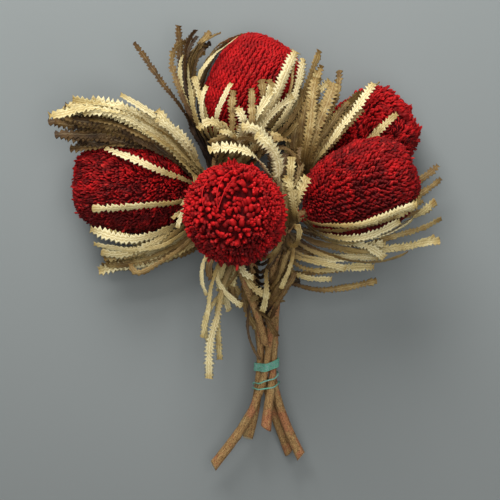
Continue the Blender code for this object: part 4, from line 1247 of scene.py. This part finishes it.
# Further leaves, too many for the solids: they fill the same fans, the crowded middle and the stems
LOOSE_WILDNESS = 2.2
MORE_FANS = {
    "left_arch_more": Fan("left", 8, (12, 40), 10.5,
                          ((-50, 88, 68), (-88, 130, 96), (-154, 134, 90)),
                          ((-54, 84, 68), (-94, 122, 94), (-150, 128, 88)),
                          ((0.1, 0.5, 0.9), (0, 0.4, 0.9))),
    "left_arch_under": Fan("left", 8, (30, 54), 10,
                           ((-54, 82, 66), (-94, 118, 86), (-154, 122, 80)),
                           ((-58, 76, 64), (-98, 108, 82), (-150, 112, 74)),
                           ((0, 0.4, 0.9), (0, 0.4, 0.9))),
    "left_arch_short": Fan("left", 5, (10, 34), 9.5,
                           ((-46, 80, 66), (-56, 100, 86), (-78, 114, 90)),
                           ((-50, 84, 72), (-72, 112, 96), (-104, 128, 98)),
                           ((0.2, 0.5, 0.8), (0.1, 0.5, 0.9))),
    "left_shade_more": Fan("left", 20, (8, 44), 11,
                           ((-55, 88, 58), (-108, 120, 78), (-174, 124, 74)),
                           ((-54, 82, 48), (-112, 98, 70), (-162, 96, 60)),
                           ((-0.1, 0.3, 0.9), (-0.2, 0.4, 0.9))),
    "left_skirt_more": Fan("left", 8, (12, 54), 9.5,
                           ((-62, 10, 60), (-98, -14, 66), (-152, 2, 60)),
                           ((-38, -2, 24), (-74, -22, 22), (-132, -30, 14)),
                           ((0, -0.4, 0.9), (0, -0.3, 0.95))),
    "left_short": Fan("left", 4, (4, 20), 5,
                      ((-52, 32, 70), (-66, 24, 84), (-72, 12, 80)),
                      ((-50, 44, 74), (-46, 50, 92), (-56, 62, 92)),
                      ((0, 0, 1), (0, 0, 1))),
    "top_arch_more": Fan("top", 9, (8, 40), 8,
                         ((-46, 96, 56), (-78, 172, 62), (-50, 200, 54)),
                         ((-42, 90, 22), (-68, 178, 18), (-18, 192, 14)),
                         ((-0.5, 0.4, 0.7), (-0.6, 0.5, 0.6))),
    "top_curl": Fan("top", 3, (4, 20), 7.5,
                    ((-42, 104, 56), (-60, 150, 64), (-46, 172, 60)),
                    ((-36, 98, 66), (-46, 128, 76), (-34, 160, 74)),
                    ((-0.3, 0.2, 0.9), (-0.3, 0.1, 0.9))),
    "top_face_more": Fan("top", 8, (4, 36), 8.5,
                         ((-4, 94, 84), (14, 118, 94), (30, 150, 84)),
                         ((28, 86, 46), (48, 116, 40), (64, 160, 34)),
                         ((0.3, -0.2, 0.9), (0.5, -0.3, 0.8))),
    "centre_tufts": Fan("top", 10, (16, 46), 8.5,
                        ((-24, 78, 82), (-26, 104, 108), (-50, 100, 98)),
                        ((14, 70, 84), (24, 100, 112), (38, 78, 104)),
                        ((0, 0.3, 1), (0, 0.3, 1))),
    "centre_short": Fan("front", 7, (8, 30), 8.5,
                        ((-26, 48, 100), (-30, 76, 122), (-42, 62, 118)),
                        ((22, 52, 96), (34, 76, 118), (28, 96, 104)),
                        ((0, 0.4, 0.9), (0, 0.4, 0.9))),
    "centre_plume_more": Fan("right_back", 9, (6, 48), 9.5,
                             ((36, 70, 66), (50, 110, 76), (60, 148, 68)),
                             ((50, 60, 56), (74, 96, 76), (106, 148, 64)),
                             ((0, 0, 1), (-0.3, 0.2, 0.9))),
    "right_back_face": Fan("right_back", 2, (4, 6), 9,
                           ((70, 62, 66), (104, 84, 86), (134, 116, 92)),
                           ((74, 58, 66), (98, 78, 84), (112, 110, 88)),
                           ((-0.3, 0.1, 0.9), (-0.3, 0.1, 0.9))),
    "right_stand_more": Fan("right_front", 6, (10, 46), 9,
                            ((38, 14, 116), (36, 40, 132), (38, 78, 138)),
                            ((28, -6, 84), (34, 26, 96), (52, 62, 104)),
                            ((0, -0.2, 1), (-0.2, 0, 1))),
    "right_far_more": Fan("right_front", 3, (14, 40), 6,
                          ((82, -14, 96), (126, -12, 90), (168, 10, 86)),
                          ((60, -24, 70), (104, -10, 62), (150, 4, 58)),
                          ((0, -0.3, 0.95), (0, -0.3, 0.95))),
    "right_face_more": Fan("right_front", 2, (4, 8), 9.5,
                           ((68, 10, 144), (104, 16, 160), (146, 32, 146)),
                           ((66, -2, 130), (96, 6, 150), (131, 20, 142)),
                           ((0, -0.4, 0.9), (0, -0.5, 0.85))),
    "stem_mass_right": Fan("right_front", 16, (16, 100), 6.5,
                           ((42, -4, 108), (44, 20, 122), (44, 48, 124)),
                           ((18, -70, 66), (22, -44, 78), (28, -14, 92)),
                           ((0, 0, 1), (0, 0, 1))),
    "stem_mass_between": Fan("front", 12, (40, 110), 5.5,
                             ((12, -30, 84), (30, -2, 96), (40, 30, 104)),
                             ((16, -76, 62), (30, -48, 70), (40, -14, 82)),
                             ((0, 0, 1), (0, 0, 1))),
    "stem_mass_left": Fan("left", 8, (20, 90), 7.5,
                          ((-34, 6, 40), (-40, -16, 44), (-26, -34, 44)),
                          ((0, -46, 40), (-4, -60, 44), (8, -76, 42)),
                          ((0, 0, 1), (0, 0, 1))),
    "stem_mass_back": Fan("right_back", 7, (40, 110), 7.5,
                          ((36, 20, 40), (48, 22, 46), (66, 20, 44)),
                          ((24, -44, 40), (32, -34, 44), (46, -30, 42)),
                          ((0, 0, 1), (0, 0, 1))),
    "stem_tufts": Fan("front", 6, (44, 84), 6.5,
                      ((-8, -26, 58), (-2, -48, 62), (14, -52, 60)),
                      ((12, -52, 50), (20, -66, 52), (20, -80, 52)),
                      ((0, 0, 1), (0, 0, 1))),
}

# The shortest share of their length that the broken leaves of a fan keep
BROKEN_FANS = {"front_hanging": 0.5, "right_skirt": 0.7, "left_skirt": 0.75, "top_arch": 0.8,
               "centre_plume": 0.8}

# How much narrower than in the solids the leaves of some fans are seen to be
SLIMNESS = {"front_hanging": 0.78, "top_face_right": 0.85, "right_skirt": 0.85, "centre_curls": 0.85,
            "right_far": 0.85}

# How far towards the stems the leaves of a fan, or one leaf, sag at the tip
SAG = {"left_arch": 5, "left_arch_0": 16, "left_arch_1": 9, "left_arch_more": 5, "left_arch_short": 1,
       "left_arch_short_1": 3, "left_arch_under": 5, "left_shade_more": 8}

# Leaves that stand out one by one: stem, distance below the head, width, tone, the curve's points, its facing
SINGLE_LEAVES = {
    "long_pale": ("right_back", 10, 11.5, 1.1, (50, 62, 92), (82, 104, 112), (115, 142, 92), (-0.5, 0.4, 0.8)),
    "thin_stalk": ("front", 70, 2.4, 0.1, (2, -56, 60), (-8, -78, 58), (10, -106, 52), (0, 0, 1)),
    "hanging_pale": ("front", 30, 6, 0.9, (-30, -10, 70), (-40, -34, 84), (-5, -56, 76), (0, 0, 1)),
    "hanging_left": ("front", 26, 4.5, 0.95, (-30, 4, 70), (-48, -8, 86), (-38, -46, 70), (-0.2, 0, 1)),
    "hanging_curl": ("front", 40, 7, 0.75, (-14, -40, 66), (-54, -58, 76), (-33, -90, 60), (0.3, 0, 1)),
    "hanging_right": ("front", 34, 8.5, 0.6, (-10, -16, 80), (0, -44, 96), (20, -47, 84), (0, 0.3, 1)),
    "under_head": ("front", 30, 8, 1.0, (-8, -10, 84), (-10, -28, 104), (5, -31, 96), (0, 0.2, 1)),
    "stem_curl": ("right_front", 60, 7, 0.75, (10, -24, 84), (24, -40, 96), (14, -60, 84), (-0.2, 0, 1)),
    "stem_upright": ("right_front", 40, 5.5, 0.65, (42, 10, 100), (45, -4, 106), (31, -40, 92), (0, 0, 1)),
    "skirt_broad": ("right_front", 16, 10.5, 0.95, (54, 6, 108), (84, 12, 116), (121, -11, 98), (0, -0.2, 1)),
    "skirt_low": ("right_front", 40, 9, 0.8, (38, -16, 82), (62, -18, 88), (88, -23, 76), (0, 0, 1)),
    "skirt_thin": ("right_front", 30, 5, 0.7, (80, -4, 92), (134, -18, 94), (167, 8, 88), (0, -0.2, 1)),
    "skirt_far": ("right_front", 20, 8, 0.6, (70, -10, 102), (124, 6, 106), (168, 38, 92), (0, -0.3, 1)),
    "hanging_long": ("front", 30, 10, 1.1, (-18, -6, 78), (-28, -54, 86), (-36, -121, 62), (-0.2, 0, 1)),
    "face_broad": ("top", 8, 11.5, 1.1, (10, 84, 92), (26, 126, 106), (43, 172, 92), (0.3, -0.3, 0.9)),
    "face_second": ("top", 12, 9.5, 1.05, (30, 84, 70), (42, 128, 90), (50, 168, 76), (0.3, -0.2, 0.9)),
    "face_brown": ("top", 16, 8.5, 0.4, (36, 80, 56), (50, 130, 72), (63, 178, 62), (0.3, -0.2, 0.9)),
    "face_short": ("top", 20, 7.5, 0.45, (40, 84, 60), (52, 126, 78), (67, 159, 68), (0.2, -0.2, 0.9)),
    "face_across": ("top", 20, 8, 1.0, (-4, 74, 98), (14, 112, 112), (40, 132, 100), (0.2, -0.3, 0.9)),
    "face_across_low": ("top", 16, 7.5, 0.95, (-8, 80, 96), (2, 110, 108), (22, 136, 98), (0.2, -0.3, 0.9)),
    "plume_broad": ("right_back", 20, 12, 0.5, (44, 64, 84), (52, 100, 104), (62, 148, 94), (0, 0, 1)),
    "plume_broad_far": ("right_back", 24, 12, 0.48, (50, 60, 80), (60, 100, 100), (76, 144, 90), (-0.1, 0, 1)),
    "shade_tip": ("left", 30, 9, 0.3, (-56, 86, 34), (-112, 100, 44), (-164, 82, 46), (-0.1, 0.3, 0.9)),
    "shade_low": ("left", 26, 10.5, 0.2, (-56, 88, 40), (-108, 108, 56), (-158, 98, 54), (-0.1, 0.3, 0.9)),
    "over_first": ("top", 10, 8, 0.45, (-46, 96, 50), (-66, 184, 42), (0, 196, 24), (-0.5, 0.4, 0.7)),
    "over_second": ("top", 14, 7.5, 0.3, (-44, 92, 42), (-62, 176, 36), (8, 191, 18), (-0.5, 0.4, 0.7)),
    "over_pale": ("top", 12, 4.5, 0.85, (-48, 98, 58), (-68, 166, 64), (-8, 184, 56), (-0.4, 0.4, 0.8)),
    "left_tip": ("left", 14, 10.5, 1.0, (-62, 10, 66), (-100, -6, 72), (-142, 14, 66), (0, -0.3, 0.95)),
    "left_tip_thin": ("left", 30, 6, 0.8, (-56, 2, 56), (-98, -14, 60), (-140, 0, 56), (0, -0.3, 0.95)),
    "left_tip_low": ("left", 40, 10, 0.95, (-44, -8, 40), (-86, -18, 44), (-138, -22, 34), (0, -0.3, 0.95)),
    "white_scrap": ("top", 24, 10, 1.2, (-8, 80, 100), (2, 106, 122), (-11, 118, 116), (0, 0.2, 1)),
    "brown_loop": ("top", 30, 9, 0.75, (-16, 80, 92), (-22, 122, 116), (-42, 101, 102), (0, 0.3, 1)),
    "stand_left": ("top", 20, 9.5, 0.4, (-14, 84, 92), (-15, 104, 116), (-13, 136, 100), (0, -0.1, 1)),
    "stand_right": ("top", 24, 9.5, 0.42, (4, 80, 96), (6, 100, 118), (2, 138, 100), (0.1, -0.1, 1)),
    "white_curl": ("front", 22, 12.5, 1.2, (32, 70, 104), (24, 110, 132), (-15, 103, 124), (0, 0.3, 1)),
    "collar_curl": ("front", 12, 12.5, 1.15, (36, 34, 122), (36, 84, 166), (4, 90, 166), (0.1, 0.4, 0.9)),
}
MORE_FANS.update({name: Fan(leaf[0], 1, (leaf[1], leaf[1]), leaf[2], leaf[4:7], leaf[4:7], (leaf[7], leaf[7]))
                  for name, leaf in SINGLE_LEAVES.items()})

# How pale each fan is: 0 for dark olive brown, 1 for bleached straw. The dark tones of fans that lie under or
# behind others, such as the shade fans, are partly painted shade.
FAN_TONES = {
    **{name: leaf[3] for name, leaf in SINGLE_LEAVES.items()},
    "left_arch": 0.98, "left_arch_more": 1.05, "left_arch_under": 0.42, "left_arch_short": 1.0,
    "left_shade": 0.14, "left_shade_more": 0.16, "left_hook": 0.45,
    "left_face_upper": 0.9, "left_face_lower": 0.9, "left_skirt": 0.78, "left_skirt_more": 0.76,
    "left_short": 0.8, "front_collar": 1.05, "front_hanging": 1.0, "top_plume": 0.45,
    "top_arch": 0.3, "top_arch_more": 0.22, "top_curl": 0.85, "top_face_left": 0.95, "top_face_right": 0.8,
    "top_face_more": 0.7, "centre_curls": 0.75, "centre_tufts": 0.5, "centre_short": 0.5, "centre_low": 0.2,
    "centre_back": 0.45, "centre_plume": 0.6, "centre_plume_more": 0.5, "right_back_face": 0.5,
    "right_far": 0.6, "right_far_more": 0.8, "right_face": 0.9, "right_skirt": 0.95,
    "right_stand": 0.8, "right_stand_more": 0.7, "stem_rags": 0.6, "stem_tufts": 0.5, "right_face_more": 0.9,
    "stem_mass_right": 0.36, "stem_mass_between": 0.34, "stem_mass_left": 0.45, "stem_mass_back": 0.1,
}


def bark_stem(name, line, radii, bark, wood, seed):
    """A stem with ridges, leaf scars and knots, cut obliquely across pale wood."""
    length = sum((q - p).length for p, q in zip(line, line[1:]))
    rings = round(length / BARK_STEP)
    path = evenly_spaced(line, rings + 1)
    walked = [0.0]
    for p, q in zip(line, line[1:]):
        walked.append(walked[-1] + (q - p).length)
    draw = random.Random(seed)
    knots = [(draw.uniform(*KNOT_PLACES) * length, draw.uniform(0, 2 * math.pi)) for _ in range(KNOTS)]
    points = []
    for i, (centre, (heading, across, side)) in enumerate(zip(path, carried_frames(path))):
        done = length * i / rings
        j = max(k for k in range(len(walked) - 1) if walked[k] <= done + 1e-6)
        share = min(1.0, (done - walked[j]) / (walked[j + 1] - walked[j]))
        radius = radii[j] + (radii[j + 1] - radii[j]) * share
        for k in range(BARK_SIDES):
            turn = 2 * math.pi * k / BARK_SIDES
            spoke = across * math.cos(turn) + side * math.sin(turn)
            x, y = math.cos(turn), math.sin(turn)
            ridge = noise.noise(Vector((x * RIDGE_TURNS, y * RIDGE_TURNS, done / RIDGE_WAVE + seed)))
            grit = noise.noise(Vector((x * GRIT_TURNS, y * GRIT_TURNS, done / GRIT_WAVE + seed)))
            swell = 0.0
            for place, facing in knots:
                near = math.hypot((done - place) / KNOT_LENGTH, math.sin((turn - facing) / 2) * KNOT_GIRTH)
                swell += math.exp(-near * near)
            thin = 1 - BARK_THIN - RIDGE_THIN * abs(ridge)
            slice_back = CUT_SLANT * math.cos(turn + seed) * max(0.0, 1 - i / CUT_RINGS)
            relief = RIDGE_HEIGHT * ridge + GRIT_HEIGHT * grit + min(KNOT_HEIGHT, swell * KNOT_HEIGHT)
            points.append(centre + heading * slice_back + spoke * (radius * thin + relief))
    uvs = []
    for i in range(rings):
        for k in range(BARK_SIDES):
            x, y = length * i / rings, k * GIRTH_UNITS / BARK_SIDES
            high = y + GIRTH_UNITS / BARK_SIDES
            uvs += [(x, y), (x, high), (x + BARK_STEP, high), (x + BARK_STEP, y)]
    uvs += [(0.0, 0.0)] * (2 * BARK_SIDES)
    stem = placed_mesh(f"stem_{name}", points, faces=closed_rings(rings + 1, BARK_SIDES))
    layer = stem.data.uv_layers.new(name="length_and_girth")
    layer.uv.foreach_set("vector", [c for uv in uvs for c in uv])
    stem.data.materials.append(bark)
    stem.data.materials.append(wood)
    for face in stem.data.polygons:
        is_wall = len(face.vertices) == 4
        face.use_smooth = is_wall
        face.material_index = 0 if is_wall else 1
    return stem


def twine_path():
    """The middle of the twine, as it is wound in the part's source."""
    turns_tight, turns_down, turns_loose = 3.0, 1.0, 1.2
    pitch = 2 * TWINE_RADIUS + 0.3
    start_y = TIE_CENTRE.y + 4.5
    drop = 13.0
    total = turns_tight + turns_down + turns_loose
    count = round(total * POINTS_OF_A_TURN)
    line = []
    for k in range(count + 1):
        turn = total * k / count
        angle = math.radians(200) + 2 * math.pi * turn
        y = start_y - pitch * min(turn, turns_tight)
        y -= drop * min(max(turn - turns_tight, 0), turns_down) / turns_down
        y -= pitch * 1.5 * max(turn - turns_tight - turns_down, 0)
        line.append(round_the_stems(angle, y, TWINE_RADIUS + FIT_GAP))
    return line


def twine_plies(name):
    """Two strands side by side, each of three plies laid round one another, sagging where they face up."""
    middle = twine_path()
    points, edges = [], []
    for strand in range(STRANDS_SIDE_BY_SIDE):
        beside = (strand - 0.5 * (STRANDS_SIDE_BY_SIDE - 1)) * 2 * STRAND_RADIUS * STRAND_CLOSENESS
        path = []
        for p in middle if strand == 0 else middle[:SECOND_STRAND_POINTS]:
            facing_up = max(0.0, (p.z - TIE_CENTRE.z) / 12)
            slip = beside - TWINE_SAG * facing_up**2 + TWINE_SLANT * (p.x - TIE_CENTRE.x)
            path.append(p + Vector((0, slip, 0)))
        headings = tangents(path)
        for ply in range(PLY_COUNT):
            edges += chain(len(points), len(path) - 1)
            walked = 0.0
            for i, (centre, heading) in enumerate(zip(path, headings)):
                if i:
                    walked += (centre - path[i - 1]).length
                across, side = ring_frame(heading, (0, 1, 0))
                turn = 2 * math.pi * (walked / PLY_LAY + ply / PLY_COUNT)
                spoke = across * math.cos(turn) + side * math.sin(turn)
                points.append(centre + spoke * (STRAND_RADIUS - PLY_RADIUS))
    return placed_mesh(name, points, edges, girth=[1.0] * len(points))


# Studio lamps: place and size in metres, power in watts
Lamp = namedtuple("Lamp", "place size power")
LAMPS = {
    "window": Lamp((-0.3, 1.2, 1.05), 0.9, 27),
    "sky": Lamp((0.1, 0.0, 2.0), 1.4, 24),
    "fill": Lamp((0.9, -1.2, 1.2), 1.0, 3),
}
CAMERA_PLACE_MM = (3.75, -2.05, 1600)
CAMERA_LENS = 121.6
ROOM_LIGHT = 0.3


def build_camera_and_light():
    camera = bpy.data.cameras.new("photo_view")
    camera.lens = CAMERA_LENS
    camera.clip_end = 20
    seen_from = bpy.data.objects.new("photo_view", camera)
    seen_from.location = Vector(CAMERA_PLACE_MM) * MM
    bpy.context.scene.collection.objects.link(seen_from)
    bpy.context.scene.camera = seen_from
    for name, lamp in LAMPS.items():
        light = bpy.data.lights.new(name, "AREA")
        light.size = lamp.size
        light.energy = lamp.power
        source = bpy.data.objects.new(name, light)
        source.location = lamp.place
        source.rotation_euler = (-Vector(lamp.place)).to_track_quat("-Z", "Y").to_euler()
        bpy.context.scene.collection.objects.link(source)
    world = bpy.data.worlds.new("studio")
    world.use_nodes = True
    world.node_tree.nodes["Background"].inputs["Color"].default_value = linear("#B8BEC0")
    world.node_tree.nodes["Background"].inputs["Strength"].default_value = ROOM_LIGHT
    bpy.context.scene.world = world
    bpy.context.scene.view_settings.view_transform = "Standard"


def build_floor():
    corners = [(x * FLOOR_SIZE, y * FLOOR_SIZE, FLOOR_HEIGHT)
               for x, y in ((-1, -1), (1, -1), (1, 1), (-1, 1))]
    floor = placed_mesh("floor", corners, faces=[(0, 1, 2, 3)])
    floor.data.materials.append(made_material(painted_board))


def cad_surface(obj):
    return surface([v.co / MM - ORIGIN_SHIFT for v in obj.data.vertices],
                   [tuple(f.vertices) for f in obj.data.polygons])


def main():
    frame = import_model()
    noise.seed_set(NOISE_SEED)
    build_camera_and_light()
    build_floor()
    florets, core, leaf = map(made_material, (dyed_dried_florets, dyed_core_painted_shade, dried_banksia_leaf))
    bark, wood, twine = map(made_material, (banksia_bark, cut_stem_wood, spun_teal_twine))
    blades, buds, strands = blade_tree(), floret_tree(), strand_tree()

    bodies = []
    for seed, (name, head) in enumerate(HEADS.items()):
        bodies.append((None, cad_surface(frame["nodes"][f"head_{name}"])))
        line, radii = stem_line(name)
        bodies.append((name, surface(*tube(line, radii, STEM_SIDES))))
        dress(head_core(f"core_{name}", head, core), [f"head_{name}"])
        seats = floret_seats(f"florets_{name}", name, head, BLOOMS[name], seed + 11)
        bud_sizes = {"Length": FLORET_LENGTH * MM, "Thickness": FLORET_THICKNESS * MM,
                     "Bend": FLORET_BEND[name], "Sides": FLORET_SIDES[name]}
        dress(grown(seats, buds, florets, bud_sizes), [f"head_{name}"])
        hairs = stray_hairs(f"fibres_{name}", head, seed + 71)
        dress(grown(hairs, strands, florets, {"Radius": HAIR_RADIUS * MM}), [f"head_{name}"])
        dress(bark_stem(name, line, radii, bark, wood, seed + 31), [f"leafy_stem_{name}"])
    fork = evenly_spaced(curve([Vector(p) for p in FORK], FORK_STEPS), FORK_RINGS)
    dress(bark_stem("fork", fork, [FORK_RADIUS] * FORK_RINGS, bark, wood, 41), ["leafy_stem_left"])
    dress(grown(loose_strands("strands_front"), strands, florets, {"Radius": LOOSE_STRAND_RADIUS * MM}),
          ["head_front"])
    bodies.append((None, cad_surface(frame["nodes"]["tie"])))
    for seed, (name, leaves) in enumerate(settled_leaves(bodies, {**FANS, **MORE_FANS}).items()):
        paths = leaf_paths(f"leaves_{name}", leaves, seed + 51)
        blade_sizes = {"Tooth Pitch": TOOTH_PITCH[name] * MM, "Tooth Forward": TOOTH_FORWARD * MM,
                       "Flatness": BLADE_FLATNESS, "Ridge": BLADE_RIDGE, "Wave": BLADE_WAVE * MM}
        dress(grown(paths, blades, leaf, blade_sizes), [f"leafy_stem_{name}"])
    dress(grown(twine_plies("twine"), strands, twine, {"Radius": PLY_RADIUS * MM}), ["tie"])


main()
